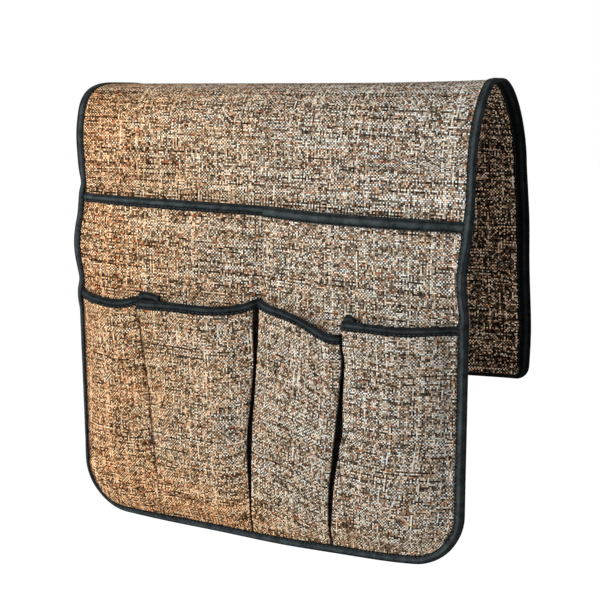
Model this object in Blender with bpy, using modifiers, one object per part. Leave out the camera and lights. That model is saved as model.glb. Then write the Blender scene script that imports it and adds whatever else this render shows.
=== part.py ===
"""Sofa armrest organizer: a sheet of heavy woven cloth that hangs over an armrest, with two rows of pockets.

Metres, +Z up. X runs along the armrest and the pockets hang on the -Y side. The origin is the middle of the
flat underside of the crest, where the cloth lies on the armrest.

Every point of the cloth is written in cloth coordinates: x along the armrest, the drop below the origin, and
the offset out of the sheet's middle surface. Each piece is an open grid of such points with a thickness.
"""

import bisect
import math
from collections import namedtuple

import bmesh
import bpy
from mathutils import Vector

# The cloths, and the clearance between two that lie on each other.
SHEET_WIDTH = 0.400
SHEET_THICKNESS = 0.0014
POCKET_THICKNESS = 0.0010
TAPE_THICKNESS = 0.0006
CLEARANCE = 0.0003

# The drape: how far down and how far out of the crest line the sheet hangs.
SEAT_WIDTH = 0.024
SHOULDER_DROP = 0.075
FRONT_SHOULDER_REACH = 0.070
BACK_SHOULDER_REACH = 0.085
FRONT_DROP = 0.424
FRONT_LEAN = 0.009
BACK_DROP = 0.290
BACK_LEAN = 0.027
FRONT_CORNER_RADIUS = 0.045
BACK_CORNER_RADIUS = 0.014

# The cloth hangs a little unevenly: its right edge is lower and further out, both edges belly out between
# the two rows of pocket mouths and curl back at the binding, and the right corner is drawn up. The crest is
# full and bulges at the left end, and is narrow at the right end.
SKEW_DROP = 0.0062
TWIST_REACH = 0.004
EDGE_BELLY = 0.009
EDGE_BELLY_WIDTH = 0.060
EDGE_CURL = 0.003
CORNER_LIFT = 0.005
CREST_BULGE = 0.0085
LEFT_FULLNESS = 3.2
RIGHT_FULLNESS = 1.75

# The bound edge and the bound pocket mouths.
BINDING_WIDTH = 0.008
BINDING_INNER_WIDTH = 0.011
TAPE_WIDTH = 0.009
TUCK = 0.0005
TURN_EASE = 0.0006
LAYER_EASE = 0.012

# The pockets. A mouth is measured down from the origin at the middle of the sheet.
UPPER_MOUTH_DROP = 0.113
LOWER_MOUTH_DROP = 0.205
UPPER_GAPE = 0.012
FLANGE_WIDTH = 0.003
WALL_LEAN = 0.002
POCKET_FULLNESS = 0.013
MOUTH_DROOP = 0.018
PLEAT_RISE = 0.005
PLEAT_END_WIDTH = 0.003

# What is left of the sheet's thickness at the nose where the crest ends.
THIN_SHARE = 0.25

# How finely the grids are cut.
COLUMN_PITCH = 0.034
ROW_PITCH = 0.026
CREST_STEPS = 8
PROBE = 0.0005
TURN_PROBE = math.radians(0.5)

LINEN = (0.42, 0.27, 0.17)
LINEN_GREY = (0.36, 0.28, 0.21)
LINEN_SHADE = (0.20, 0.13, 0.09)
CHARCOAL = (0.022, 0.025, 0.028)

# (share of the way from the shoulder to the hem, share of the leaf's lean)
FRONT_REACH_SHARES = ((0.0, 0.0), (0.1, 0.35), (0.28, 0.7), (0.45, 1.0), (0.75, 0.98), (1.0, 0.85))
BACK_REACH_SHARES = (
    (0.0, 0.0), (0.25, 0.5), (0.45, 0.62), (0.6, 0.8), (0.75, 1.0), (0.88, 0.95), (1.0, 0.78),
)

# How much of the edge's curl is left further in: (inset from the edge, share of the curl).
BOUND_WIDTH = BINDING_WIDTH + CLEARANCE
CURL_SHARES = ((-BOUND_WIDTH, 1.6), (BOUND_WIDTH, 0.4), (BOUND_WIDTH + LAYER_EASE, 0.0))

# How far the upper pockets' cloth stands off, as shares of the gape at its mouths.
UPPER_STAND_SHARES = ((0.0, 1.0), (0.15, 0.9), (0.3, 0.6), (0.6, 0.3), (1.0, 0.0))

# Seams between the lower pockets, and the folds beside them: (share of the depth from the mouths to the hem,
# place as a share of the sheet's width from its middle).
DIVIDER_SHARES = (
    ((0.0, -0.258), (1.0, -0.266)),
    ((0.0, -0.003), (0.2, -0.003), (0.4, -0.009), (0.6, -0.019), (1.0, -0.0235)),
    ((0.0, 0.243), (0.45, 0.240), (0.65, 0.220), (0.9, 0.189), (1.0, 0.185)),
)
PLEAT_FOLD_SHARES = {
    2: ((0.0, -0.308), (0.25, -0.298), (0.5, -0.285), (0.9, -0.266)),
    4: ((0.0, 0.222), (0.2, 0.227), (0.45, 0.223), (0.65, 0.203), (0.9, 0.187)),
}
WALL_FOLD_SHARES = {
    (2, "right"): ((0.0, -0.014), (0.2, -0.010), (0.4, -0.016), (0.6, -0.026), (1.0, -0.033)),
    (3, "left"): ((0.0, 0.008), (0.2, 0.004), (0.4, -0.002), (0.6, -0.012), (1.0, -0.014)),
    (3, "right"): ((0.0, 0.208), (0.15, 0.215), (0.4, 0.205), (0.6, 0.192), (0.8, 0.179), (1.0, 0.176)),
}
# How far a wall leans over its foot: (share of the depth, share of the lean). It spreads the other way at the
# mouth and at the hem.
WALL_LEAN_SHARES = ((0.0, -1.5), (0.05, -1.5), (0.15, 1.0), (0.7, 1.0), (0.9, -1.5), (1.0, -1.5))

Leaf = namedtuple("Leaf", "side shoulder_reach lean drop radius reach_shares skew twist belly curl lift")
FRONT = Leaf(
    -1, FRONT_SHOULDER_REACH, FRONT_LEAN, FRONT_DROP, FRONT_CORNER_RADIUS, FRONT_REACH_SHARES,
    SKEW_DROP, TWIST_REACH, EDGE_BELLY, EDGE_CURL, CORNER_LIFT,
)
BACK = Leaf(
    1, BACK_SHOULDER_REACH, BACK_LEAN, BACK_DROP, BACK_CORNER_RADIUS, BACK_REACH_SHARES,
    0.0, 0.0, 0.0, 0.0, 0.0,
)

# A lower pocket's two sides are each sewn (caught in a seam or under the binding), wall (a fold that stands
# off the seam) or flap (the free fold of a pleat). Its mouth's droop is in shares of MOUTH_DROOP, from its
# left side to its right. Heights are how far its cloth stands off, in shares of POCKET_FULLNESS:
# (share of the depth, at the left side, in the middle, at the right side).
Pocket = namedtuple("Pocket", "number left_kind right_kind droop_shares height_shares colour")
LOWER_POCKETS = (
    Pocket(
        1, "sewn", "sewn",
        ((0.0, -0.12), (0.2, 0.22), (0.45, 0.36), (0.7, 0.26), (1.0, 0.0)),
        ((0.0, 0.0, 0.85, 0.0), (0.3, 0.0, 0.85, 0.0), (0.7, 0.0, 0.54, 0.0), (1.0, 0.0, 0.08, 0.0)),
        LINEN,
    ),
    Pocket(
        2, "flap", "wall",
        ((0.0, 0.08), (0.25, 0.0), (0.5, 0.02), (0.7, 0.06), (0.84, -0.1), (1.0, -0.5)),
        ((0.0, 0.0, 0.62, 0.26), (0.3, 0.0, 0.7, 0.54), (0.7, 0.0, 0.54, 0.46), (1.0, 0.0, 0.08, 0.08)),
        LINEN_GREY,
    ),
    Pocket(
        3, "wall", "wall",
        (
            (0.0, -0.52), (0.25, -0.15), (0.4, 0.02), (0.5, 0.12), (0.64, 0.35), (0.76, 0.66), (0.86, 0.76),
            (1.0, 0.66),
        ),
        ((0.0, 0.15, 0.85, 0.85), (0.3, 0.5, 1.0, 0.9), (0.7, 0.4, 0.85, 0.7), (1.0, 0.08, 0.15, 0.08)),
        LINEN_GREY,
    ),
    Pocket(
        4, "flap", "sewn",
        ((0.0, 0.26), (0.12, 0.12), (0.3, 0.07), (0.6, 0.02), (1.0, -0.1)),
        ((0.0, 0.0, 0.7, 0.0), (0.3, 0.0, 0.77, 0.0), (0.7, 0.0, 0.62, 0.0), (1.0, 0.0, 0.08, 0.0)),
        LINEN_GREY,
    ),
)
# A wall's columns between its foot and its fold: (share of the way to the fold, share of its height).
WALL_SHARES = ((0.42, 0.27), (0.85, 0.68), (1.0, 0.93))
PLEAT_COLUMN_SHARES = (0.0, 0.5, 1.0)
FRONT_SHARES = (0.08, 0.2, 0.35, 0.5, 0.65, 0.8, 0.92)


# Numbers and lists.


def blend(start, end, share):
    return start + (end - start) * share


def ease(share):
    share = min(max(share, 0.0), 1.0)
    return share * share * (3.0 - 2.0 * share)


def linear_at(table, place):
    """Value at a place along a table of (place, value), straight between its points."""
    if place <= table[0][0]:
        return table[0][1]
    for (a, low), (b, high) in zip(table, table[1:]):
        if place <= b:
            return blend(low, high, (place - a) / (b - a))
    return table[-1][1]


def curve_at(table, place):
    """Value at a place along a table of (place, value), on the smooth curve through its points."""
    places = [point[0] for point in table]
    values = [point[1] for point in table]
    place = min(max(place, places[0]), places[-1])
    index = min(bisect.bisect_right(places, place), len(places) - 1) - 1

    def slope(at):
        before, after = max(at - 1, 0), min(at + 1, len(places) - 1)
        return (values[after] - values[before]) / (places[after] - places[before])

    span = places[index + 1] - places[index]
    share = (place - places[index]) / span
    lean = (1.0 - share) * slope(index) - share * slope(index + 1)
    return blend(values[index], values[index + 1], ease(share)) + share * (1.0 - share) * span * lean


def lines_between(start, stop, pitch, kept=()):
    """Grid lines from start to stop, about a pitch apart, through each of the kept places between them."""
    inner = sorted(place for place in set(kept) if start + CLEARANCE < place < stop - CLEARANCE)
    fixed = [start] + inner + [stop]
    lines = [start]
    for a, b in zip(fixed, fixed[1:]):
        steps = max(round((b - a) / pitch), 1)
        lines += [blend(a, b, step / steps) for step in range(1, steps + 1)]
    return lines


# The draped sheet.


def crest_centre(x, side, turn):
    """Middle of the sheet on the crest, at a turn from 0 at the flat seat to a quarter turn at the shoulder."""
    rightness = x / SHEET_WIDTH + 0.5
    power = 2.0 / blend(LEFT_FULLNESS, RIGHT_FULLNESS, rightness)
    reach = FRONT_SHOULDER_REACH if side < 0 else BACK_SHOULDER_REACH
    out = blend(SEAT_WIDTH / 2, reach, math.sin(turn) ** power)
    out += blend(CREST_BULGE, 0.0, rightness) * math.sin(2.0 * turn)
    up = blend(-SHOULDER_DROP, SHEET_THICKNESS / 2, max(math.cos(turn), 0.0) ** power)
    return Vector((x, side * out, up))


def crest_point(x, side, turn, offset=0.0):
    centre = crest_centre(x, side, turn)
    if turn <= 0.0:
        return centre + Vector((0.0, 0.0, offset))
    before = crest_centre(x, side, max(turn - TURN_PROBE, 0.0))
    after = crest_centre(x, side, min(turn + TURN_PROBE, math.pi / 2))
    along = after - before
    normal = Vector((0.0, -side * along.z, side * along.y)).normalized()
    return centre + normal * offset


def leaf_centre(leaf, x, drop):
    """Middle of the sheet on a hanging leaf."""
    share = (drop - SHOULDER_DROP) / (leaf.drop - SHOULDER_DROP)
    edge = x / (SHEET_WIDTH / 2)
    reach = leaf.shoulder_reach + leaf.lean * curve_at(leaf.reach_shares, share)
    reach += leaf.twist * edge * ease(share)
    reach -= leaf.curl * linear_at(CURL_SHARES, edge_distance(leaf, x, drop)) * ease(share / leaf.reach_shares[2][0])
    rows = (drop - UPPER_MOUTH_DROP) / (LOWER_MOUTH_DROP - UPPER_MOUTH_DROP)
    if 0.0 < rows < 1.0:
        near_edge = ease((abs(x) - SHEET_WIDTH / 2 + EDGE_BELLY_WIDTH) / EDGE_BELLY_WIDTH)
        reach += leaf.belly * near_edge * math.sin(math.pi * rows) ** 2
    fall = leaf.skew * edge * ease(share / leaf.reach_shares[1][0])
    fall -= leaf.lift * max(edge, 0.0) ** 3 * ease(share) ** 2
    return Vector((x, leaf.side * reach, -drop - fall))


def leaf_point(leaf, x, drop, offset=0.0):
    centre = leaf_centre(leaf, x, drop)
    across = leaf_centre(leaf, x + PROBE, drop) - leaf_centre(leaf, x - PROBE, drop)
    down = leaf_centre(leaf, x, drop + PROBE) - leaf_centre(leaf, x, drop - PROBE)
    normal = across.cross(down).normalized() * leaf.side
    return centre + normal * offset


def rounded(leaf, x, drop, inset=0.0):
    """Cloth coordinates with the leaf's two lower corners rounded off, along arcs that share a centre."""
    half, bottom, radius = SHEET_WIDTH / 2 - inset, leaf.drop - inset, leaf.radius - inset
    a = (abs(x) - half + radius) / radius
    b = (drop - bottom + radius) / radius
    if a <= 0.0 or b <= 0.0:
        return x, drop
    turn = math.pi / 4 * b / a if a > b else math.pi / 2 - math.pi / 4 * a / b
    reach = radius * max(a, b)
    return math.copysign(half - radius + reach * math.cos(turn), x), bottom - radius + reach * math.sin(turn)


def edge_distance(leaf, x, drop):
    """How far inside the leaf's outline a place lies."""
    over_x = abs(x) - SHEET_WIDTH / 2 + leaf.radius
    over_drop = drop - leaf.drop + leaf.radius
    if over_x > 0.0 and over_drop > 0.0:
        return leaf.radius - math.hypot(over_x, over_drop)
    return leaf.radius - max(over_x, over_drop)


def free_share(x, drop):
    """0 under the front leaf's binding, rising to 1 further in, where a pocket's cloth is free to stand off."""
    share = (edge_distance(FRONT, x, drop) - BINDING_WIDTH - CLEARANCE) / LAYER_EASE
    return min(max(share, 0.0), 1.0)


# The layers on the front leaf. Each lies a clearance above the one below it, and further off at its mouth,
# where the tape's inner half lies behind it.

LAYER_STEP = POCKET_THICKNESS + CLEARANCE
TAPE_STEP = TAPE_THICKNESS + CLEARANCE
UPPER_STEP = SHEET_THICKNESS / 2 + CLEARANCE + POCKET_THICKNESS / 2


def mouth_share(below_mouth):
    """1 across the tape at a mouth, falling to 0 below it."""
    return 1.0 - min(max((below_mouth - TAPE_WIDTH) / LAYER_EASE, 0.0), 1.0)


def upper_offset(x, drop):
    """Offset of the upper pockets' cloth from the sheet's middle."""
    half = SHEET_WIDTH / 2 - BINDING_WIDTH
    across = min(abs(x) / half, 1.0)
    depth = (drop - UPPER_MOUTH_DROP) / (FRONT_DROP - UPPER_MOUTH_DROP)
    stand = UPPER_GAPE * curve_at(UPPER_STAND_SHARES, depth) * 4.0 * across * (1.0 - across)
    sewn = UPPER_STEP + TAPE_STEP * mouth_share(drop - UPPER_MOUTH_DROP)
    return sewn + stand * free_share(x, drop)


def binding_face_table():
    """(drop, offset of the outermost cloth at the side edges), which the binding's front half lies on."""
    upper, lower = UPPER_MOUTH_DROP, LOWER_MOUTH_DROP
    sheet = SHEET_THICKNESS / 2
    one = UPPER_STEP + POCKET_THICKNESS / 2
    two = one + LAYER_STEP
    return (
        (upper - LAYER_EASE, sheet),
        (upper, one + TAPE_STEP),
        (upper + TAPE_WIDTH, one + TAPE_STEP),
        (upper + TAPE_WIDTH + LAYER_EASE, one),
        (lower - LAYER_EASE, one),
        (lower, two + TAPE_STEP),
        (lower + TAPE_WIDTH, two + TAPE_STEP),
        (lower + TAPE_WIDTH + LAYER_EASE, two),
    )


# Rows that all the front leaf's grids share, so that pieces which lie on each other bend at the same places.
FRONT_LINES = [place for place, _ in binding_face_table()]


def corner_insets(radius):
    """How far in from the edge the grid lines through a rounded corner lie."""
    binding = BINDING_WIDTH + CLEARANCE
    free = binding + LAYER_EASE
    return [inset for inset in (binding, free, (free + radius) / 2) if inset < radius] + [radius]


def corner_lines(edge, radius):
    return [edge - inset for inset in corner_insets(radius)]


# Meshes and objects.


def material(name, colour, roughness=0.9):
    made = bpy.data.materials.new(name)
    made.use_nodes = True
    shader = made.node_tree.nodes["Principled BSDF"]
    shader.inputs["Base Color"].default_value = (*colour, 1.0)
    shader.inputs["Roughness"].default_value = roughness
    shader.inputs["Metallic"].default_value = 0.0
    made.diffuse_color = (*colour, 1.0)
    return made


def cloth_material(name, colour):
    return material(name + "_cloth", colour, 0.95)


def tape_material(name):
    return material(name + "_tape", CHARCOAL, 0.5)


def shell(name, rows, thickness, look, parent, thin_rows=()):
    """A cloth from a grid of points of its middle surface, thinner at its thin rows."""
    columns = len(rows[0])
    origin = parent.matrix_world.translation if parent else Vector()
    grid = bmesh.new()
    bmesh.ops.create_grid(grid, x_segments=columns - 1, y_segments=len(rows) - 1, size=1.0)
    for index, vertex in enumerate(grid.verts):
        row, column = divmod(index, columns)
        vertex.co = rows[row][column] - origin
    mesh = bpy.data.meshes.new(name)
    grid.to_mesh(mesh)
    grid.free()
    mesh.materials.append(look)
    mesh.shade_smooth()
    mesh.set_sharp_from_angle(angle=math.radians(40))
    made = bpy.data.objects.new(name, mesh)
    bpy.data.collections["armrest_organizer"].objects.link(made)
    made.parent = parent
    solidify = made.modifiers.new("thickness", "SOLIDIFY")
    solidify.thickness = thickness
    solidify.offset = 0.0
    solidify.use_even_offset = True
    if thin_rows:
        group = made.vertex_groups.new(name="thickness")
        for row in range(len(rows)):
            weight = THIN_SHARE if row in thin_rows else 1.0
            group.add(list(range(row * columns, (row + 1) * columns)), weight, "REPLACE")
        solidify.vertex_group = group.name
    return made


def pivot(name, leaf):
    """An empty on the line where a leaf turns."""
    made = bpy.data.objects.new(name, None)
    made.location = (0.0, leaf.side * leaf.shoulder_reach, -SHOULDER_DROP)
    made.empty_display_size = SHOULDER_DROP
    bpy.data.collections["armrest_organizer"].objects.link(made)
    bpy.context.view_layer.update()
    return made


# The sheet: the crest and the two leaves.

NOSE = SHEET_THICKNESS / 2
LEAF_START = SHOULDER_DROP + NOSE + CLEARANCE
BINDING_HALF = SHEET_THICKNESS / 2 + CLEARANCE + TAPE_THICKNESS
BINDING_START = SHOULDER_DROP + BINDING_HALF + CLEARANCE


CREST_STEP = math.pi / 2 / CREST_STEPS


def crest_turns():
    """(side, turn) of each row of the crest, from the front shoulder over the seat to the back one."""
    steps = [CREST_STEP * step for step in range(CREST_STEPS + 1)]
    return [(-1, turn) for turn in reversed(steps)] + [(1, turn) for turn in steps]


def crest_panel():
    """The top of the sheet. Each of its ends narrows to a nose on the line where the leaf turns."""
    half = SHEET_WIDTH / 2
    columns = lines_between(-half, half, COLUMN_PITCH)
    rows = [[crest_point(x, side, turn) for x in columns] for side, turn in crest_turns()]
    tip = Vector((0.0, 0.0, -NOSE))
    rows = [[point + tip for point in rows[0]]] + rows + [[point + tip for point in rows[-1]]]
    shell(
        "crest_panel", rows, SHEET_THICKNESS, cloth_material("crest_panel", LINEN), None,
        thin_rows=(0, len(rows) - 1),
    )


def leaf_columns(leaf):
    half = SHEET_WIDTH / 2
    kept = [place for line in corner_lines(half, leaf.radius) for place in (-line, line)] + [0.0]
    return lines_between(-half, half, COLUMN_PITCH, kept)


def leaf_rows(leaf, start):
    kept = corner_lines(leaf.drop, leaf.radius)
    if leaf is FRONT:
        kept += FRONT_LINES
    return lines_between(start, leaf.drop, ROW_PITCH, kept)


def leaf_panel(name, leaf, parent, colour):
    columns = leaf_columns(leaf)
    rows = []
    for drop in leaf_rows(leaf, LEAF_START):
        rows.append([leaf_point(leaf, *rounded(leaf, x, drop)) for x in columns])
    shell(name, rows, SHEET_THICKNESS, cloth_material(name, colour), parent)


# The binding: a strip folded round the sheet's edge, a little wider on the inside.


def binding_section(face):
    """(distance in from the edge, offset) of the folded strip's middle, over cloth that ends at this offset."""
    front = face + CLEARANCE + TAPE_THICKNESS / 2
    back = -SHEET_THICKNESS / 2 - CLEARANCE - TAPE_THICKNESS / 2
    web = -CLEARANCE - TAPE_THICKNESS / 2
    nose = web - TAPE_THICKNESS / 2
    return (
        (BINDING_WIDTH, front), (web, front), (nose, blend(front, back, 0.5)), (web, back),
        (BINDING_INNER_WIDTH, back),
    )


def side_binding(name, leaf, side, start, stop, parent):
    """Along a leaf's straight side edge, from one drop to another."""
    table = binding_face_table() if leaf is FRONT else ((0.0, SHEET_THICKNESS / 2),)
    rows = []
    for drop in [line for line in leaf_rows(leaf, start) if line < stop - CLEARANCE] + [stop]:
        section = binding_section(linear_at(table, drop))
        rows.append([leaf_point(leaf, side * (SHEET_WIDTH / 2 - inset), drop, offset) for inset, offset in section])
    shell(name, rows, TAPE_THICKNESS, tape_material(name), parent)


def outline(leaf, side, turn):
    """A place on a rounded corner and the way in from it, at a turn from 0 at the side edge."""
    out, down = math.cos(turn), math.sin(turn)
    x = side * (SHEET_WIDTH / 2 - leaf.radius + leaf.radius * out)
    return (x, leaf.drop - leaf.radius + leaf.radius * down), (-side * out, -down)


def corner_places(leaf, side):
    """Places round a corner, where the leaf's own grid lines meet its edge."""
    shares = [1.0 - inset / leaf.radius for inset in reversed(corner_insets(leaf.radius))] + [1.0]
    turns = [math.pi / 4 * share for share in shares]
    turns += [math.pi / 2 - turn for turn in reversed(turns[:-1])]
    return [outline(leaf, side, turn) for turn in turns]


def edge_rows(leaf, places, face):
    rows = []
    for (x, drop), (in_x, in_drop) in places:
        section = binding_section(face)
        rows.append([leaf_point(leaf, x + in_x * inset, drop + in_drop * inset, offset) for inset, offset in section])
    return rows


def hem_places(leaf, start, stop):
    columns = [x for x in leaf_columns(leaf) if start + CLEARANCE < x < stop - CLEARANCE]
    return [((x, leaf.drop), (0.0, -1.0)) for x in [start] + columns + [stop]]


def front_binding(parent):
    face = binding_face_table()[-1][1]
    corner_start = FRONT_DROP - FRONT_CORNER_RADIUS
    hem_end = SHEET_WIDTH / 2 - FRONT_CORNER_RADIUS
    for side, label in ((-1, "left"), (1, "right")):
        side_binding("front_binding_" + label, FRONT, side, BINDING_START, corner_start - CLEARANCE, parent)
        name = "front_binding_" + label + "_corner"
        rows = edge_rows(FRONT, corner_places(FRONT, side), face)
        shell(name, rows, TAPE_THICKNESS, tape_material(name), parent)
    places = hem_places(FRONT, -hem_end + CLEARANCE, hem_end - CLEARANCE)
    name = "front_binding_hem"
    shell(name, edge_rows(FRONT, places, face), TAPE_THICKNESS, tape_material(name), parent)


def back_binding(parent):
    corner_start = BACK_DROP - BACK_CORNER_RADIUS
    hem_end = SHEET_WIDTH / 2 - BACK_CORNER_RADIUS
    for side, label in ((-1, "left"), (1, "right")):
        side_binding("back_binding_" + label, BACK, side, BINDING_START, corner_start - CLEARANCE, parent)
    left = corner_places(BACK, -1)
    right = list(reversed(corner_places(BACK, 1)))
    places = left[:-1] + hem_places(BACK, -hem_end, hem_end) + right[1:]
    name = "back_binding_hem"
    shell(name, edge_rows(BACK, places, SHEET_THICKNESS / 2), TAPE_THICKNESS, tape_material(name), parent)


def crest_binding():
    """Over the crest's two ends, stopping short of the lines where the leaves turn, by an ease for their bindings."""
    section = binding_section(SHEET_THICKNESS / 2)
    lowest = -SHOULDER_DROP + BINDING_HALF + TURN_EASE
    for side, label in ((-1, "left"), (1, "right")):
        rows = []
        for hand, turn in crest_turns():
            row = []
            for inset, offset in section:
                x = side * (SHEET_WIDTH / 2 - inset)
                point = crest_point(x, hand, turn, offset)
                if point.z < lowest:
                    above = crest_point(x, hand, turn - CREST_STEP, offset)
                    point = above.lerp(point, (above.z - lowest) / (above.z - point.z))
                row.append(point)
            rows.append(row)
        name = "crest_binding_" + label
        shell(name, rows, TAPE_THICKNESS, tape_material(name), None)


# The upper pockets.


def mouth_tape(name, rows, parent, first=0, last=None):
    """The tape folded over a pocket's mouth, along the columns of the pocket's own grid from first to last."""
    last = len(rows[0]) - 1 if last is None else last
    stand = POCKET_THICKNESS / 2 + CLEARANCE + TAPE_THICKNESS / 2
    made = []
    for column in range(first, last + 1):
        top, low = rows[0][column], rows[1][column]
        if first < column < last:
            before = (top - rows[0][column - 1]).normalized()
            after = (rows[0][column + 1] - top).normalized()
            across = (before + after).normalized()
            bend = across.dot(after)
        else:
            across = Vector((1.0, 0.0, 0.0))
            bend = 1.0
        up = top - low
        up = (up - across * up.dot(across)).normalized()
        out = across.cross(up) * stand / bend
        fold = top + up * stand
        made.append([low + out, fold + out, fold + up * stand / 2, fold - out, low - out])
    shell(name, made, TAPE_THICKNESS, tape_material(name), parent)


def upper_pocket(label, side, parent):
    half = SHEET_WIDTH / 2 - TUCK
    inner = SHEET_WIDTH / 2 - BINDING_WIDTH - CLEARANCE
    kept = corner_lines(SHEET_WIDTH / 2, FRONT_CORNER_RADIUS)
    distances = lines_between(CLEARANCE / 2, half, COLUMN_PITCH, kept)
    columns = sorted(side * distance for distance in distances)
    kept = FRONT_LINES + corner_lines(FRONT_DROP, FRONT_CORNER_RADIUS)
    drops = lines_between(UPPER_MOUTH_DROP, FRONT_DROP - TUCK, ROW_PITCH, kept)
    rows = []
    for drop in drops:
        row = []
        for x in columns:
            at = rounded(FRONT, x, drop, TUCK)
            row.append(leaf_point(FRONT, *at, upper_offset(*at)))
        rows.append(row)
    name = "upper_pocket_" + label
    shell(name, rows, POCKET_THICKNESS, cloth_material(name, LINEN if side < 0 else LINEN_GREY), parent)
    # Beside the binding the tape ends where the binding's edge lies.
    under = sum(1 for distance in distances if distance > inner + CLEARANCE)
    first, last = (under, len(columns) - 1) if side < 0 else (0, len(columns) - 1 - under)
    mouth_tape("upper_tape_" + label, rows, parent, first, last)


# The lower pockets.


def width_at(shares, depth):
    """A place along the sheet's width that drifts from the mouth to the hem."""
    return SHEET_WIDTH * curve_at(shares, depth)


def pleat_edge(number, depth):
    """The free fold of a pleat, which runs into its seam above the hem."""
    seam = width_at(DIVIDER_SHARES[number - 2], depth) + CLEARANCE / 2
    return min(width_at(PLEAT_FOLD_SHARES[number], depth), seam)


def side_places(pocket, hand, depth):
    """(seam, foot, fold) of one side of a pocket: where it is sewn, where it leaves the seam and where it turns."""
    kind = pocket.left_kind if hand == "left" else pocket.right_kind
    way = 1.0 if hand == "left" else -1.0
    if kind == "flap":
        return (pleat_edge(pocket.number, depth),) * 3
    if (pocket.number, hand) in ((1, "left"), (4, "right")):
        half = SHEET_WIDTH / 2
        inner = half - BINDING_WIDTH - CLEARANCE
        return -way * (half - TUCK), -way * inner, -way * inner
    divider = DIVIDER_SHARES[pocket.number - (2 if hand == "left" else 1)]
    seam = width_at(divider, depth) + way * CLEARANCE / 2
    if kind == "sewn":
        foot = min(pleat_edge(pocket.number + 1, depth), seam) - FLANGE_WIDTH
        return seam, foot, foot
    fold = width_at(WALL_FOLD_SHARES[pocket.number, hand], depth)
    return seam, fold + way * WALL_LEAN * linear_at(WALL_LEAN_SHARES, depth), fold


def neighbour_mouth(number):
    """Drop of the mouth that a pleat lies on, at its right end, if it is lower than the pleat's own."""
    neighbour = LOWER_POCKETS[number - 2]
    return LOWER_MOUTH_DROP + MOUTH_DROOP * max(neighbour.droop_shares[-1][1], 0.0)


def layers_over(number, drop, layers):
    """Height of a cloth that many layers above the one that a pleat lies on, with the tapes between them."""
    taped = mouth_share(drop - neighbour_mouth(number))
    own = mouth_share(drop - LOWER_MOUTH_DROP)
    return layers * (LAYER_STEP + CLEARANCE / 2 + 2.0 * TAPE_STEP * taped) + TAPE_STEP * (taped - own)


def heights_at(pocket, drop):
    """How far a pocket's cloth stands off at its left side, in its middle and at its right side."""
    depth = depth_at(drop)
    tables = [[(row[0], row[1 + side]) for row in pocket.height_shares] for side in range(3)]
    left, middle, right = (POCKET_FULLNESS * curve_at(table, depth) for table in tables)
    if pocket.left_kind == "flap":
        left += layers_over(pocket.number, drop, 2)
    return left, middle, right


def depth_at(drop):
    return (drop - LOWER_MOUTH_DROP) / (FRONT_DROP - LOWER_MOUTH_DROP)


def pocket_columns(pocket):
    """(zone, share across, share up) of each column of a pocket's grid, from left to right."""
    columns = []
    if pocket.left_kind == "flap":
        columns.append(("front", 0.0, 0.0))
    else:
        columns += [("left seam", 0.0, 0.0), ("left foot", 0.0, 0.0)]
    if pocket.left_kind == "wall":
        columns += [("left wall", across, up) for across, up in WALL_SHARES]
    columns += [("front", across, 0.0) for across in FRONT_SHARES]
    if pocket.right_kind == "wall":
        columns += [("right wall", across, up) for across, up in reversed(WALL_SHARES)]
    return columns + [("right foot", 0.0, 0.0), ("right seam", 0.0, 0.0)]


def column_at(pocket, column, drop):
    """(x, height) of a column of a pocket's grid."""
    zone, across, up = column
    left, middle, right = heights_at(pocket, drop)
    left_seam, left_foot, left_fold = side_places(pocket, "left", depth_at(drop))
    right_seam, right_foot, right_fold = side_places(pocket, "right", depth_at(drop))
    if zone == "front":
        crown = middle if pocket.left_kind == "flap" else max(middle - (left + right) / 2, 0.0)
        height = blend(left, right, across) + 4.0 * across * (1.0 - across) * crown
        return blend(left_fold, right_fold, across), height
    if zone == "left wall":
        return blend(left_foot, left_fold, across), left * up
    if zone == "right wall":
        return blend(right_foot, right_fold, across), right * up
    places = {"left seam": left_seam, "left foot": left_foot, "right foot": right_foot, "right seam": right_seam}
    return places[zone], 0.0


def mouth_drop(pocket, x):
    """How far down a pocket's mouth lies."""
    left, right = side_places(pocket, "left", 0.0)[0], side_places(pocket, "right", 0.0)[0]
    return LOWER_MOUTH_DROP + MOUTH_DROOP * curve_at(pocket.droop_shares, (x - left) / (right - left))


def lower_point(x, drop, below_mouth, height, inset=TUCK):
    """A place on a cloth that lies on the upper pockets."""
    x, drop = rounded(FRONT, x, drop, inset)
    offset = upper_offset(x, drop) + LAYER_STEP + TAPE_STEP * mouth_share(below_mouth)
    return leaf_point(FRONT, x, drop, offset + height * free_share(x, drop))


def lower_rows():
    """Drops of a lower pocket's rows, before its mouth's droop is added."""
    kept = [line for line in FRONT_LINES if line > LOWER_MOUTH_DROP]
    kept += corner_lines(FRONT_DROP, FRONT_CORNER_RADIUS)
    return lines_between(LOWER_MOUTH_DROP, FRONT_DROP - TUCK, ROW_PITCH, kept)


def lower_pocket_grid(pocket):
    rows = []
    hem = FRONT_DROP - BINDING_WIDTH - CLEARANCE - LAYER_EASE
    ease_from = LOWER_MOUTH_DROP + TAPE_WIDTH + LAYER_EASE
    for drop in lower_rows():
        follows = min(max((hem - drop) / (hem - ease_from), 0.0), 1.0)
        row = []
        for column in pocket_columns(pocket):
            x, height = column_at(pocket, column, drop)
            droop = mouth_drop(pocket, column_at(pocket, column, LOWER_MOUTH_DROP)[0]) - LOWER_MOUTH_DROP
            row.append(lower_point(x, drop + droop * follows, drop - LOWER_MOUTH_DROP, height))
        rows.append(row)
    return rows


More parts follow.
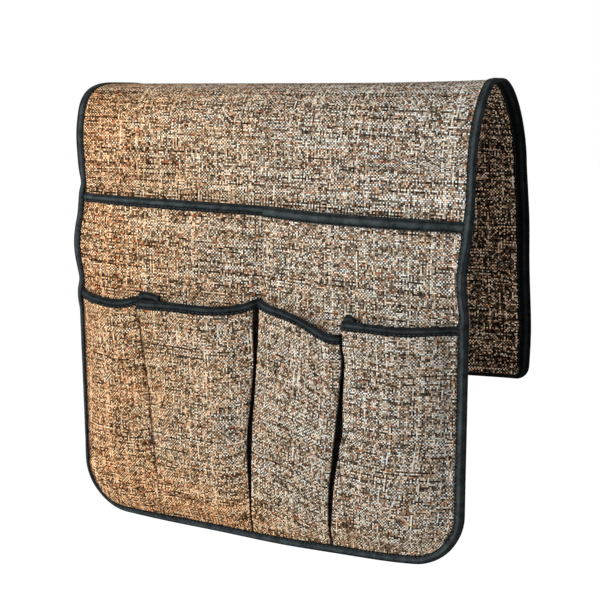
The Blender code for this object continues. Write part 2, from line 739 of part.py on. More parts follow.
def lower_pocket(pocket, parent):
    rows = lower_pocket_grid(pocket)
    name = "lower_pocket_" + str(pocket.number)
    shell(name, rows, POCKET_THICKNESS, cloth_material(name, pocket.colour), parent)
    first = 1 if pocket.number == 1 else 0
    last = len(rows[0]) - (2 if pocket.number == 4 else 1)
    mouth_tape("lower_tape_" + str(pocket.number), rows, parent, first, last)


def pleat(number, parent):
    """The folded-under part of a pleat, between the pocket's free fold and the seam, and its end of the tape."""
    rows = []
    for drop in lower_rows():
        fold = pleat_edge(number, depth_at(drop))
        seam = width_at(DIVIDER_SHARES[number - 2], depth_at(drop)) - CLEARANCE / 2
        if seam - fold < PLEAT_END_WIDTH:
            break
        below = drop - LOWER_MOUTH_DROP
        height = layers_over(number, drop, 1)
        rise = PLEAT_RISE * mouth_share(below)
        places = [blend(fold, seam, share) for share in PLEAT_COLUMN_SHARES]
        rows.append([lower_point(x, drop - rise, below, height) for x in places])
    name = "lower_pocket_" + str(number) + "_pleat"
    shell(name, rows, POCKET_THICKNESS, cloth_material(name, LINEN_SHADE), parent)
    mouth_tape("lower_tape_" + str(number) + "_pleat", rows, parent)


def main():
    for old in list(bpy.data.objects):
        bpy.data.objects.remove(old, do_unlink=True)
    collection = bpy.data.collections.new("armrest_organizer")
    bpy.context.scene.collection.children.link(collection)
    front = pivot("front_leaf_pivot", FRONT)
    back = pivot("back_leaf_pivot", BACK)
    crest_panel()
    crest_binding()
    leaf_panel("front_panel", FRONT, front, LINEN)
    front_binding(front)
    leaf_panel("back_panel", BACK, back, LINEN_SHADE)
    back_binding(back)
    upper_pocket("left", -1, front)
    upper_pocket("right", 1, front)
    for pocket in LOWER_POCKETS:
        lower_pocket(pocket, front)
    for number in PLEAT_FOLD_SHARES:
        pleat(number, front)


main()
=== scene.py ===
"""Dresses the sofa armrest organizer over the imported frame: woven cloth, folded tape, pleats and stitching.

Metres, +Z up. Every piece is a grid of points written in cloth coordinates: x along the armrest, the run down
the sheet from the middle of the crest's seat, and the offset out of the sheet's middle surface.
"""

import math
from collections import namedtuple

import bpy
import numpy as np
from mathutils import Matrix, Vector

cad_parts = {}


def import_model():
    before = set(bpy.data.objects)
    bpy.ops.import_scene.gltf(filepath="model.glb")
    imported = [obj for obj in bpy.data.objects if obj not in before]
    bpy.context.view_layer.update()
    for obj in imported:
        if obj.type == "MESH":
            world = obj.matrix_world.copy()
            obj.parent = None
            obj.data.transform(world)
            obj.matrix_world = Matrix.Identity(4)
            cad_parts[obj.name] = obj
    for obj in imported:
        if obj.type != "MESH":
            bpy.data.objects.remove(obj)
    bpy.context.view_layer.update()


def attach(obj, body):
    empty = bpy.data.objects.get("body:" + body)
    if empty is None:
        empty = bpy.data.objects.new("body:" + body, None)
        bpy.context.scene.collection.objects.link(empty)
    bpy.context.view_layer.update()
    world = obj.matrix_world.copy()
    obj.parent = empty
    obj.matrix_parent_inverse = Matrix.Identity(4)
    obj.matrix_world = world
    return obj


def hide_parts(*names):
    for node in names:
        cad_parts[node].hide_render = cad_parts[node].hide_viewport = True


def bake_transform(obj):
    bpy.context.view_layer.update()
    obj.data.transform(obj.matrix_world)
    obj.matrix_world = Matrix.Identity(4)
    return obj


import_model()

# The cloths, as in the part.
SHEET_WIDTH = 0.400
SHEET_THICKNESS = 0.0014
POCKET_THICKNESS = 0.0010
TAPE_THICKNESS = 0.0006
CLEARANCE = 0.0003

# The drape.
SEAT_WIDTH = 0.024
SHOULDER_DROP = 0.075
FRONT_DROP = 0.4228
FRONT_CORNER_RADIUS = 0.045
EDGE_BELLY_WIDTH = 0.060
LEFT_LIFT = 0.0005
RIGHT_LIFT = 0.009
HEM_SAG = 0.0024
HEM_SAG_FROM = 0.6
CREST_BULGE = 0.0085
SHOULDER_BULGE = 0.004
BULGE_FROM, BULGE_RISE, BULGE_TO, BULGE_FADE = 0.030, 0.035, 0.072, 0.030
LEFT_FULLNESS = 3.0
RIGHT_FULLNESS = 1.66
RIGHT_RISE = 0.0030
CURL_WIDTH = 0.015

# Bound edges and mouths.
BINDING_WIDTH = 0.0072
BINDING_INNER_WIDTH = 0.011
BACK_HEM_SHARE = 0.25
BACK_CREASE_DROP = 0.228
BACK_CREASE_WIDTH = 0.0016
BACK_CREASE_RISE = 0.0012
TAPE_WIDTH = 0.009
LEFT_TAPE_WIDTH = 0.0079
LOWER_TAPE_WIDTH = 0.0070
TUCK = 0.0005
LAYER_EASE = 0.012

# Pockets.
UPPER_MOUTH_DROP = 0.113
LEFT_MOUTH_RAISE = 0.0019
LOWER_MOUTH_DROP = 0.205
UPPER_GAPE = 0.012
FLANGE_WIDTH = 0.0013
WALL_LEAN = 0.002
CREASE_DEPTH = 0.0010
CREASE_WIDTH = 0.0013
CREASE_FROM, CREASE_TO, CREASE_FADE = 0.54, 0.88, 0.08
POCKET_FULLNESS = 0.013
MOUTH_DROOP = 0.018
PLEAT_RISE = {2: 0.0030, 4: 0.0006}
PLEAT_ARCH = {2: 0.0022, 4: 0.0030}
PLEAT_END_WIDTH = 0.003
PLEAT_FOLD_IN = 0.0005
PLEAT_COLUMNS = 13
SEAM_ALLOWANCE = 0.002
SEAM_DENT = 0.0004
SEAM_DENT_WIDTH = 0.0022
LEAST_AREA_SHARE = 0.31

# How finely the grids are cut, how far a bend is softened and how far apart two points show a slope.
COLUMN_PITCH = 0.0032
ROW_PITCH = 0.0032
PATH_PITCH = 0.0026
SOFTEN = 0.006
PROBE = 0.0015

UPPER_STAND_SHARES = ((0.0, 1.0), (0.15, 0.9), (0.3, 0.6), (0.6, 0.3), (1.0, 0.0))
DIVIDER_SHARES = (
    ((0.0, -0.2585), (0.5, -0.262), (1.0, -0.268)),
    ((0.0, -0.004), (0.2, -0.0025), (0.4, -0.0095), (0.6, -0.0195), (1.0, -0.025)),
    ((0.0, 0.243), (0.45, 0.240), (0.60, 0.224), (0.75, 0.207), (0.90, 0.188), (1.0, 0.184)),
)
PLEAT_FOLD_SHARES = {
    2: (
        (0.0, -0.3085), (0.10, -0.3068), (0.24, -0.2985), (0.41, -0.2880), (0.59, -0.2830), (0.77, -0.2760),
        (0.86, -0.2725), (0.94, -0.267),
    ),
    4: (
        (0.0, 0.2225), (0.10, 0.2262), (0.22, 0.2276), (0.35, 0.2248), (0.47, 0.2232), (0.52, 0.2160),
        (0.60, 0.2080), (0.72, 0.1963), (0.80, 0.1915), (0.90, 0.1850),
    ),
}
WALL_FOLD_SHARES = {
    (2, "right"): (
        (0.0, -0.0135), (0.10, -0.0118), (0.23, -0.0080), (0.32, -0.0107), (0.41, -0.0155), (0.50, -0.0225),
        (0.60, -0.0275), (0.70, -0.0272), (0.85, -0.0262), (1.0, -0.0285),
    ),
    (3, "left"): (
        (0.0, 0.0040), (0.10, 0.0045), (0.16, 0.0050), (0.23, 0.0028), (0.32, -0.0002), (0.41, -0.0040),
        (0.50, -0.0095), (0.60, -0.0122), (0.70, -0.0155), (0.85, -0.0200), (1.0, -0.0215),
    ),
    (3, "right"): (
        (0.0, 0.2165), (0.05, 0.2185), (0.12, 0.2212), (0.22, 0.2163), (0.28, 0.2140), (0.35, 0.2094),
        (0.42, 0.2050), (0.50, 0.1985), (0.58, 0.1932), (0.66, 0.1860), (0.74, 0.1810), (0.85, 0.1772),
        (1.0, 0.176),
    ),
}
# How far a wall leans over its foot, in shares of the lean.
WALL_LEAN_SHARES = {
    (2, "right"): ((0.0, -1.5), (0.05, -1.5), (0.15, 1.0), (0.75, 1.0), (0.95, -0.5), (1.0, -0.5)),
    (3, "left"): ((0.0, -1.3), (0.05, -1.3), (0.15, 1.2), (0.75, 1.0), (0.95, -0.5), (1.0, -0.5)),
    (3, "right"): ((0.0, 0.0), (0.05, 0.0), (0.15, 1.2), (0.75, 1.0), (0.95, 0.0), (1.0, 0.0)),
}
# The crease beside the last pleat: (share of the depth, place as a share of the sheet's width).
CREASE_SHARES = (
    (0.50, 0.2100), (0.555, 0.2105), (0.65, 0.2160), (0.756, 0.2228), (0.864, 0.2284), (0.95, 0.232),
)

# How far the two side edges curl back: (drop, curl).
LEFT_CURL = (
    (0.078, 0.0), (0.103, 0.0042), (0.120, 0.0044), (0.136, 0.0020), (0.160, 0.0028), (0.190, 0.0040),
    (0.212, 0.0105), (0.250, 0.0110), (0.300, 0.0118), (0.348, 0.0122), (0.383, 0.0118), (0.424, 0.0100),
)
RIGHT_CURL = (
    (0.078, 0.0), (0.105, 0.0010), (0.125, -0.0010), (0.155, -0.0050), (0.175, -0.0050), (0.200, -0.0015),
    (0.215, -0.0010), (0.280, -0.0012), (0.390, -0.0022), (0.424, -0.0022),
)
LEFT_FLARE = ((0.190, 0.0), (0.212, 0.0030), (0.300, 0.0028), (0.424, 0.0014))
FLARE_WIDTH = 0.040

# A hanging leaf. Its reach is how far the cloth hangs out from the middle, by the share of its depth.
Leaf = namedtuple("Leaf", "name side shoulder_reach lean drop radius reach_shares skew twist belly")
FRONT = Leaf(
    name="front_leaf", side=-1, shoulder_reach=0.070, lean=0.009, drop=FRONT_DROP, radius=FRONT_CORNER_RADIUS,
    reach_shares=((0.0, 0.0), (0.1, 0.35), (0.28, 0.7), (0.45, 1.0), (0.75, 0.98), (1.0, 0.85)),
    skew=0.0062, twist=0.004, belly=0.010,
)
BACK = Leaf(
    name="back_leaf", side=1, shoulder_reach=0.085, lean=0.027, drop=0.2880, radius=0.012,
    reach_shares=((0.0, 0.0), (0.25, 0.5), (0.45, 0.62), (0.6, 0.8), (0.75, 1.0), (0.88, 0.95), (1.0, 0.78)),
    skew=0.0, twist=0.0, belly=0.0,
)

# A mouth's droop is in shares of MOUTH_DROOP, from the pocket's left side to its right. Heights are how far
# the cloth stands off, in shares of POCKET_FULLNESS: (share of the depth, left side, middle, right side).
Pocket = namedtuple("Pocket", "number left_kind right_kind droop_shares height_shares")
LOWER_POCKETS = (
    Pocket(
        1, "sewn", "sewn",
        (
            (0.0, -0.25), (0.05, -0.12), (0.10, 0.03), (0.186, 0.105), (0.32, 0.13), (0.42, 0.18),
            (0.51, 0.208), (0.58, 0.197), (0.65, 0.155), (0.78, -0.03), (1.0, -0.1),
        ),
        ((0.0, 0.0, 0.85, 0.0), (0.1, 0.0, 0.85, 0.22), (0.7, 0.0, 0.54, 0.22), (1.0, 0.0, 0.08, 0.0)),
    ),
    Pocket(
        2, "flap", "wall",
        (
            (0.0, 0.16), (0.1, 0.12), (0.2, 0.09), (0.35, 0.06), (0.5, 0.065), (0.6, 0.06), (0.675, 0.05),
            (0.745, 0.02), (0.84, -0.075), (0.93, -0.24), (1.0, -0.52),
        ),
        (
            (0.0, 0.0, 0.62, 0.28), (0.12, 0.0, 0.66, 0.50), (0.3, 0.0, 0.7, 0.62), (0.65, 0.0, 0.56, 0.58),
            (0.85, 0.0, 0.3, 0.30), (1.0, 0.0, 0.08, 0.08),
        ),
    ),
    Pocket(
        3, "wall", "wall",
        (
            (0.0, -0.52), (0.07, -0.36), (0.175, -0.23), (0.27, -0.155), (0.37, -0.03), (0.50, 0.153),
            (0.63, 0.443), (0.74, 0.69), (0.81, 0.79), (0.93, 0.77), (1.0, 0.70),
        ),
        (
            (0.0, 0.15, 0.85, 0.85), (0.12, 0.42, 0.95, 0.88), (0.3, 0.56, 1.0, 0.92),
            (0.65, 0.5, 0.88, 0.74), (0.85, 0.26, 0.5, 0.36), (1.0, 0.08, 0.15, 0.08),
        ),
    ),
    Pocket(
        4, "flap", "sewn",
        (
            (0.0, 0.12), (0.09, 0.09), (0.2, 0.10), (0.33, 0.12), (0.49, 0.135), (0.66, 0.05), (0.80, -0.04),
            (0.91, -0.08), (1.0, -0.11),
        ),
        (
            (0.0, 0.0, 0.7, 0.0), (0.1, 0.2, 0.75, 0.0), (0.3, 0.40, 0.77, 0.0), (0.65, 0.30, 0.64, 0.0),
            (0.85, 0.08, 0.4, 0.0), (1.0, 0.0, 0.08, 0.0),
        ),
    ),
)


# Numbers.


def blend(start, end, share):
    return start + (end - start) * share


def ease(share):
    share = np.clip(share, 0.0, 1.0)
    return share * share * (3.0 - 2.0 * share)


def linear_at(table, place):
    return np.interp(place, [point[0] for point in table], [point[1] for point in table])


def curve_at(table, place):
    """Value on the smooth curve through the table's points."""
    places = np.array([point[0] for point in table])
    values = np.array([point[1] for point in table])
    after = np.minimum(np.arange(len(places)) + 1, len(places) - 1)
    before = np.maximum(np.arange(len(places)) - 1, 0)
    slopes = (values[after] - values[before]) / (places[after] - places[before])
    place = np.clip(place, places[0], places[-1])
    index = np.clip(np.searchsorted(places, place, side="right") - 1, 0, len(places) - 2)
    span = places[index + 1] - places[index]
    share = (place - places[index]) / span
    lean = (1.0 - share) * slopes[index] - share * slopes[index + 1]
    return blend(values[index], values[index + 1], ease(share)) + share * (1.0 - share) * span * lean


def lines_between(start, stop, pitch, kept=()):
    """Grid lines from start to stop, about a pitch apart, through each of the kept places between them."""
    inner = sorted(place for place in set(kept) if start + CLEARANCE < place < stop - CLEARANCE)
    fixed = [start] + inner + [stop]
    lines = [start]
    for a, b in zip(fixed, fixed[1:]):
        steps = max(round((b - a) / pitch), 1)
        lines += [blend(a, b, step / steps) for step in range(1, steps + 1)]
    return np.array(lines)


RANDOM_SIZE = 89
RANDOM = np.random.default_rng(11).uniform(-1.0, 1.0, (RANDOM_SIZE, RANDOM_SIZE))


def noise(u, v, seed):
    """Smooth noise from -1 to 1, its features about one unit across."""
    u, v = np.asarray(u) + 13.7 * seed, np.asarray(v) + 29.3 * seed
    i, j = np.floor(u).astype(int), np.floor(v).astype(int)
    a, b = ease(u - i), ease(v - j)
    i, j, right, up = (place % RANDOM_SIZE for place in (i, j, i + 1, j + 1))
    return blend(blend(RANDOM[i, j], RANDOM[right, j], a), blend(RANDOM[i, up], RANDOM[right, up], a), b)


def lengths_along(points, axis=0):
    """Length along a line or a grid of points, up to each of them."""
    steps = np.linalg.norm(np.diff(points, axis=axis), axis=-1)
    return np.insert(np.cumsum(steps, axis=axis), 0, 0.0, axis=axis)


# The draped sheet, by x and the run from the middle of the seat.


def crest_profile(leaf, rightness, turn):
    power = 2.0 / blend(LEFT_FULLNESS, RIGHT_FULLNESS, rightness)
    out = blend(SEAT_WIDTH / 2, leaf.shoulder_reach, np.sin(turn) ** power)
    out = out + blend(CREST_BULGE, 0.0, rightness) * np.sin(2.0 * turn)
    up = blend(-SHOULDER_DROP, SHEET_THICKNESS / 2, np.maximum(np.cos(turn), 0.0) ** power)
    return out, up + RIGHT_RISE * np.maximum(2.0 * rightness - 1.0, 0.0) ** 3 * np.cos(turn) ** 2


def crest_table(leaf):
    """(runs, turns) along the crest in the middle of the sheet."""
    turns = np.linspace(0.0, math.pi / 2, 400)
    return SEAT_WIDTH / 2 + lengths_along(np.stack(crest_profile(leaf, 0.5, turns), axis=-1)), turns


CREST_TABLES = {leaf.name: crest_table(leaf) for leaf in (FRONT, BACK)}
CREST_RUN = {name: table[0][-1] for name, table in CREST_TABLES.items()}


def drop_at(leaf, run):
    return SHOULDER_DROP + run - CREST_RUN[leaf.name]


def run_at(leaf, drop):
    return drop - SHOULDER_DROP + CREST_RUN[leaf.name]


# Soft waves of a hanging leaf, broad ones and small ones. A noise is given as (size across, size down, seed).
Waves = namedtuple("Waves", "height pitch phase wander wandering small_height small")
WAVES = {
    "front_leaf": Waves(0.0009, 0.125, 0.32 * math.pi, 1.4, (0.22, 0.20, 1), 0.0008, (0.075, 0.12, 2)),
    "back_leaf": Waves(0.0016, 0.170, 0.7, 1.2, (0.25, 0.20, 3), 0.0010, (0.06, 0.10, 4)),
}
WAVES_FROM = 0.01
WAVES_GROW_OVER = 0.20


def noise_at(size, x, drop):
    across, down, seed = size
    return noise(x / across, drop / down, seed)


def sway(leaf, x, drop):
    """The soft waves, out of the cloth's own surface."""
    waves = WAVES[leaf.name]
    grow = ease((drop - SHOULDER_DROP - WAVES_FROM) / WAVES_GROW_OVER)
    turn = 2.0 * math.pi * x / waves.pitch + waves.phase + waves.wander * noise_at(waves.wandering, x, drop)
    return grow * (waves.height * np.sin(turn) + waves.small_height * noise_at(waves.small, x, drop))


def curled(leaf, x, drop):
    """How far the cloth near the front leaf's edge curls back."""
    near = np.maximum(CURL_WIDTH - edge_distance(leaf, x, drop), 0.0) / CURL_WIDTH
    rightness = np.clip(x / SHEET_WIDTH + 0.5, 0.0, 1.0)
    curl = blend(linear_at(LEFT_CURL, drop), linear_at(RIGHT_CURL, drop), rightness)
    return curl * near ** 2


def flared(x, drop):
    """How far the front leaf's left edge spreads out."""
    near = np.maximum(FLARE_WIDTH - SHEET_WIDTH / 2 - x, 0.0) / FLARE_WIDTH
    return linear_at(LEFT_FLARE, drop) * near ** 2


def raw_centre(leaf, x, run):
    """A point of the sheet's middle surface, its bends not yet softened."""
    turn = np.interp(run, *CREST_TABLES[leaf.name])
    out, up = crest_profile(leaf, x / SHEET_WIDTH + 0.5, turn)
    out = np.where(run <= SEAT_WIDTH / 2, run, out)
    edge = x / (SHEET_WIDTH / 2)
    left, right = np.maximum(-edge, 0.0) ** 3, np.maximum(edge, 0.0) ** 3
    drop = drop_at(leaf, run)
    share = (drop - SHOULDER_DROP) / (leaf.drop - SHOULDER_DROP)
    reach = leaf.shoulder_reach + leaf.lean * curve_at(leaf.reach_shares, share)
    reach = reach + leaf.twist * edge * ease(share)
    rows = np.clip((drop - UPPER_MOUTH_DROP) / (LOWER_MOUTH_DROP - UPPER_MOUTH_DROP), 0.0, 1.0)
    near_edge = ease((np.abs(x) - SHEET_WIDTH / 2 + EDGE_BELLY_WIDTH) / EDGE_BELLY_WIDTH)
    reach = reach + leaf.belly * near_edge * np.sin(math.pi * rows) ** 2 + sway(leaf, x, drop)
    bulge = SHOULDER_BULGE * left * ease((drop - BULGE_FROM) / BULGE_RISE)
    bulge = bulge * (1.0 - ease((drop - BULGE_TO) / BULGE_FADE))
    fall = leaf.skew * edge * ease(share / leaf.reach_shares[1][0])
    if leaf is FRONT:
        reach = reach - curled(leaf, x, drop)
        fall = fall - (LEFT_LIFT * left + RIGHT_LIFT * right) * ease(share) ** 2
        fall = fall + HEM_SAG * (1.0 - edge ** 2) * ease((share - HEM_SAG_FROM) / (1.0 - HEM_SAG_FROM))
        x = x - flared(x, drop)
    else:
        reach = reach - BACK_CREASE_RISE * np.exp(-((drop - BACK_CREASE_DROP) / BACK_CREASE_WIDTH) ** 2)
    hanging = run > CREST_RUN[leaf.name]
    y = leaf.side * (np.where(hanging, reach, out) + bulge)
    return np.stack([x, y, np.where(hanging, -drop - fall, up)], axis=-1)


def soft_centre(leaf, x, run):
    near = raw_centre(leaf, x, run)
    around = raw_centre(leaf, x, run - SOFTEN) + raw_centre(leaf, x, run + SOFTEN)
    return 0.5 * near + 0.25 * around


def unit(vectors):
    return vectors / np.maximum(np.linalg.norm(vectors, axis=-1, keepdims=True), 1e-12)


def sheet_frame(leaf, x, run):
    """(place, outward normal) of the sheet's middle surface."""
    across = soft_centre(leaf, x + PROBE, run) - soft_centre(leaf, x - PROBE, run)
    down = soft_centre(leaf, x, run + PROBE) - soft_centre(leaf, x, run - PROBE)
    return soft_centre(leaf, x, run), unit(np.cross(across, down) * leaf.side)


def sheet_point(leaf, x, run, offset=0.0):
    x, run, offset = np.broadcast_arrays(*(np.asarray(part, float) for part in (x, run, offset)))
    place, normal = sheet_frame(leaf, x, run)
    return place + normal * offset[..., None]


def rounded(leaf, x, drop, inset=0.0):
    """Cloth coordinates with the leaf's two lower corners rounded off, along arcs that share a centre."""
    half, bottom, radius = SHEET_WIDTH / 2 - inset, leaf.drop - inset, leaf.radius - inset
    a = (np.abs(x) - half + radius) / radius
    b = (drop - bottom + radius) / radius
    inside = (a <= 0.0) | (b <= 0.0)
    safe_a, safe_b = np.where(inside, 1.0, a), np.where(inside, 1.0, b)
    low, high = math.pi / 4 * safe_b / safe_a, math.pi / 2 - math.pi / 4 * safe_a / safe_b
    turn = np.where(safe_a > safe_b, low, high)
    reach = radius * np.maximum(safe_a, safe_b)
    round_x = np.copysign(half - radius + reach * np.cos(turn), x)
    round_drop = bottom - radius + reach * np.sin(turn)
    return np.where(inside, x, round_x), np.where(inside, drop, round_drop)


def edge_distance(leaf, x, drop):
    over_x = np.abs(x) - SHEET_WIDTH / 2 + leaf.radius
    over_drop = drop - leaf.drop + leaf.radius
    corner = leaf.radius - np.hypot(np.maximum(over_x, 0.0), np.maximum(over_drop, 0.0))
    return np.where((over_x > 0.0) & (over_drop > 0.0), corner, leaf.radius - np.maximum(over_x, over_drop))


def free_share(x, drop):
    """0 under the front leaf's binding, rising to 1 further in."""
    share = (edge_distance(FRONT, x, drop) - BINDING_WIDTH - CLEARANCE) / (1.4 * LAYER_EASE)
    return ease(share)


# The layers on the front leaf.

LAYER_STEP = POCKET_THICKNESS + CLEARANCE
TAPE_STEP = TAPE_THICKNESS + CLEARANCE
UPPER_STEP = SHEET_THICKNESS / 2 + CLEARANCE + POCKET_THICKNESS / 2


def mouth_share(below_mouth):
    return 1.0 - ease((below_mouth - TAPE_WIDTH) / LAYER_EASE)


def upper_offset(x, drop):
    """Offset of the upper pockets' cloth from the sheet's middle."""
    half = SHEET_WIDTH / 2 - BINDING_WIDTH
    across = np.minimum(np.abs(x) / half, 1.0)
    depth = (drop - UPPER_MOUTH_DROP) / (FRONT_DROP - UPPER_MOUTH_DROP)
    crown = (4.0 * across * (1.0 - across)) ** 0.8
    stand = UPPER_GAPE * curve_at(UPPER_STAND_SHARES, depth) * crown
    buckle = 0.0006 * noise(x / 0.03, drop / 0.07, 5) * crown * ease((depth + 0.1) / 0.2)
    sewn = UPPER_STEP + TAPE_STEP * mouth_share(drop - UPPER_MOUTH_DROP)
    return sewn + (stand + buckle) * free_share(x, drop)


def binding_face_table():
    """(drop, offset of the cloth or tape end that the binding covers at the side edges)."""
    upper, lower = UPPER_MOUTH_DROP, LOWER_MOUTH_DROP
    sheet = SHEET_THICKNESS / 2
    one = UPPER_STEP + POCKET_THICKNESS / 2
    two = one + LAYER_STEP
    return (
        (upper - LEFT_MOUTH_RAISE - LAYER_EASE, sheet),
        (upper - LEFT_MOUTH_RAISE - TAPE_STEP, one + 2.0 * TAPE_STEP),
        (upper + TAPE_WIDTH, one + 2.0 * TAPE_STEP),
        (upper + TAPE_WIDTH + LAYER_EASE, one),
        (lower - LAYER_EASE, one),
        (lower - TAPE_STEP, two + 2.0 * TAPE_STEP),
        (lower + TAPE_WIDTH, two + 2.0 * TAPE_STEP),
        (lower + TAPE_WIDTH + LAYER_EASE, two),
    )

# Meshes.


def link(name, data):
    """A new object of the scene that holds the data."""
    made = bpy.data.objects.new(name, data)
    bpy.context.scene.collection.objects.link(made)
    return made


def new_mesh(name, points, faces, uv, looks):
    """A smooth mesh, with the cloth coordinates of each corner of each face."""
    mesh = bpy.data.meshes.new(name)
    mesh.from_pydata(points.tolist(), [], faces)
    layer = mesh.uv_layers.new(name="cloth")
    layer.data.foreach_set("uv", uv.reshape(-1).astype(np.float32))
    for look in looks:
        mesh.materials.append(look)
    mesh.shade_smooth()
    return mesh


def grid_normals(grid, side):
    return unit(np.cross(np.gradient(grid, axis=1), np.gradient(grid, axis=0)) * side)


def cloth_uv(grid, start_u, start_v):
    """Cloth coordinates by arc length: across from the middle column, down from the first row."""
    middle = grid.shape[1] // 2
    across = lengths_along(grid, 1)
    return np.stack([start_u + across - across[:, middle:middle + 1], start_v + lengths_along(grid)], axis=-1)


CREASE_ANGLE = math.radians(50)


def shell(name, grid, uv, thickness, looks, side, normals=None, depth=None):
    """A closed cloth round a grid of points: looks[0] outside and on its rim, looks[-1] inside."""
    normals = grid_normals(grid, side) if normals is None else normals
    outer = (grid + normals * thickness / 2).reshape(-1, 3)
    inner = (grid - normals * thickness / 2).reshape(-1, 3)
    count = len(outer)
    index = np.arange(count).reshape(grid.shape[:2])
    quads = np.stack([index[:-1, :-1], index[:-1, 1:], index[1:, 1:], index[1:, :-1]], axis=-1).reshape(-1, 4)
    rim = np.concatenate([index[0, :-1], index[:-1, -1], index[-1, :0:-1], index[:0:-1, 0]])
    after = np.roll(rim, -1)
    walls = np.stack([rim, rim + count, after + count, after], axis=-1)
    faces = np.concatenate([quads, quads[:, ::-1] + count, walls])
    if side < 0:
        faces = faces[:, ::-1]
    corner_uv = np.tile(uv.reshape(-1, 2), (2, 1))[faces]
    mesh = new_mesh(name, np.concatenate([outer, inner]), faces.tolist(), corner_uv, looks)
    # The depth is painted shade: how far each point is darkened as though it lay deep in a fold.
    if depth is not None:
        layer = mesh.attributes.new("fold_depth", "FLOAT", "POINT")
        layer.data.foreach_set("value", np.tile(depth.reshape(-1), 2).astype(np.float32))
    kinds = np.zeros(len(faces), dtype=np.int32)
    kinds[len(quads):2 * len(quads)] = len(looks) - 1
    mesh.polygons.foreach_set("material_index", kinds)
    mesh.set_sharp_from_angle(angle=CREASE_ANGLE)
    mesh.update()
    return link(name, mesh)


# Materials, all of them from cloth coordinates in metres.


class Value:
    """A number or colour that changes over a material. Arithmetic on it adds the nodes that work it out."""

    def __init__(self, graph, socket):
        self.graph, self.socket = graph, socket

    def __add__(self, other):
        return self.graph.math("ADD", self, other)

    def __sub__(self, other):
        return self.graph.math("SUBTRACT", self, other)

    def __rsub__(self, other):
        return self.graph.math("SUBTRACT", other, self)

    def __mul__(self, other):
        return self.graph.math("MULTIPLY", self, other)

    def __truediv__(self, other):
        return self.graph.math("DIVIDE", self, other)

    def __pow__(self, other):
        return self.graph.math("POWER", self, other)

    def __gt__(self, other):
        return self.graph.math("GREATER_THAN", self, other)


class Graph:
    """A short way to write the nodes of a material or of the world."""

    def __init__(self, data, shader="Principled BSDF"):
        data.use_nodes = True
        self.data, self.tree = data, data.node_tree
        self.shader = self.tree.nodes[shader]

    def put(self, socket, value):
        if isinstance(value, Value):
            self.tree.links.new(value.socket, socket)
        else:
            socket.default_value = value

    def node(self, kind, inputs=(), output=0, **settings):
        """What comes out of a new node."""
        made = self.tree.nodes.new(kind)
        for key, value in settings.items():
            setattr(made, key, value)
        for place, value in dict(inputs).items():
            self.put(made.inputs[place], value)
        return Value(self, made.outputs[output])

    def surface(self, inputs):
        for name, value in inputs.items():
            self.put(self.shader.inputs[name], value)

    def math(self, operation, a, b=0.0):
        return self.node("ShaderNodeMath", {0: a, 1: b}, operation=operation)

    def remap(self, value, a, b, c=0.0, d=1.0, kind="LINEAR"):
        return self.node("ShaderNodeMapRange", {0: value, 1: a, 2: b, 3: c, 4: d}, interpolation_type=kind)

    def vector(self, x, y, z):
        return self.node("ShaderNodeCombineXYZ", {0: x, 1: y, 2: z})

    def noise(self, vector, scale=1.0, detail=2.0, roughness=0.5):
        inputs = {"Vector": vector, "Scale": scale, "Detail": detail, "Roughness": roughness}
        return self.node("ShaderNodeTexNoise", inputs)

    def white(self, vector):
        return self.node("ShaderNodeTexWhiteNoise", {"Vector": vector}, "Value", noise_dimensions="3D")

    def mix(self, share, a, b, kind="MIX"):
        return self.node("ShaderNodeMix", {0: share, 6: a, 7: b}, 2, data_type="RGBA", blend_type=kind)

    def tinted(self, colour, tint):
        return self.mix(1.0, colour, tint, "MULTIPLY")

    def shaded(self, colour, level):
        """The colour, darker or lighter by a level."""
        return self.tinted(colour, self.node("ShaderNodeCombineColor", {0: level, 1: level, 2: level}))

    def ramp(self, share, stops):
        made = self.node("ShaderNodeValToRGB", {0: share})
        elements = made.socket.node.color_ramp.elements
        while len(elements) < len(stops):
            elements.new(0.5)
        for element, (place, colour) in zip(elements, stops):
            element.position = place
            element.color = (*colour, 1.0)
        return made

    def bump(self, height, strength, distance):
        inputs = {"Height": height, "Strength": strength, "Distance": distance}
        self.surface({"Normal": self.node("ShaderNodeBump", inputs)})

    def cloth_place(self):
        split = self.node("ShaderNodeSeparateXYZ", {0: self.node("ShaderNodeUVMap", uv_map="cloth")})
        return split, Value(self, split.socket.node.outputs[1])


YARN = (
    (0.00, (0.012, 0.008, 0.006)),
    (0.20, (0.034, 0.022, 0.015)),
    (0.34, (0.150, 0.094, 0.060)),
    (0.48, (0.370, 0.262, 0.175)),
    (0.62, (0.560, 0.440, 0.325)),
    (0.76, (0.790, 0.690, 0.570)),
    (1.00, (0.960, 0.920, 0.850)),
)
HUES = (
    (0.00, (1.00, 0.77, 0.57)),
    (0.35, (0.94, 0.84, 0.76)),
    (0.65, (0.86, 0.88, 0.79)),
    (1.00, (0.82, 0.86, 0.90)),
)
# The tint, from the lower left of the sheet to its right side: warm at the lower left, cooler and greyer at
# the right.
PLACE_TINTS = (
    (0.00, (1.00, 0.74, 0.53)),
    (0.20, (0.94, 0.82, 0.68)),
    (0.50, (0.83, 0.85, 0.87)),
    (0.90, (0.79, 0.87, 0.98)),
)
REVERSE_TINTS = ((0.00, (1.00, 0.86, 0.78)), (0.50, (0.98, 0.87, 0.80)), (1.00, (1.00, 0.86, 0.78)))
RUST = (0.480, 0.120, 0.035, 1.0)
RUST_FROM = 0.975
RUST_STRENGTH = 0.6
THREAD_PITCH = 0.00150
THREAD_DRIFT = 0.0006
WARP_LIGHTNESS = 0.30
WEFT_LIGHTNESS = 0.62
# How dark painted shade makes the cloth deepest in a fold.
PAINTED_FOLD_SHADE_LEVEL = 0.05
# How dark painted shade makes the gaps between the yarns.
PAINTED_GAP_SHADE = 0.05
LOW_FROM, LOW_TO = 0.34, 0.425
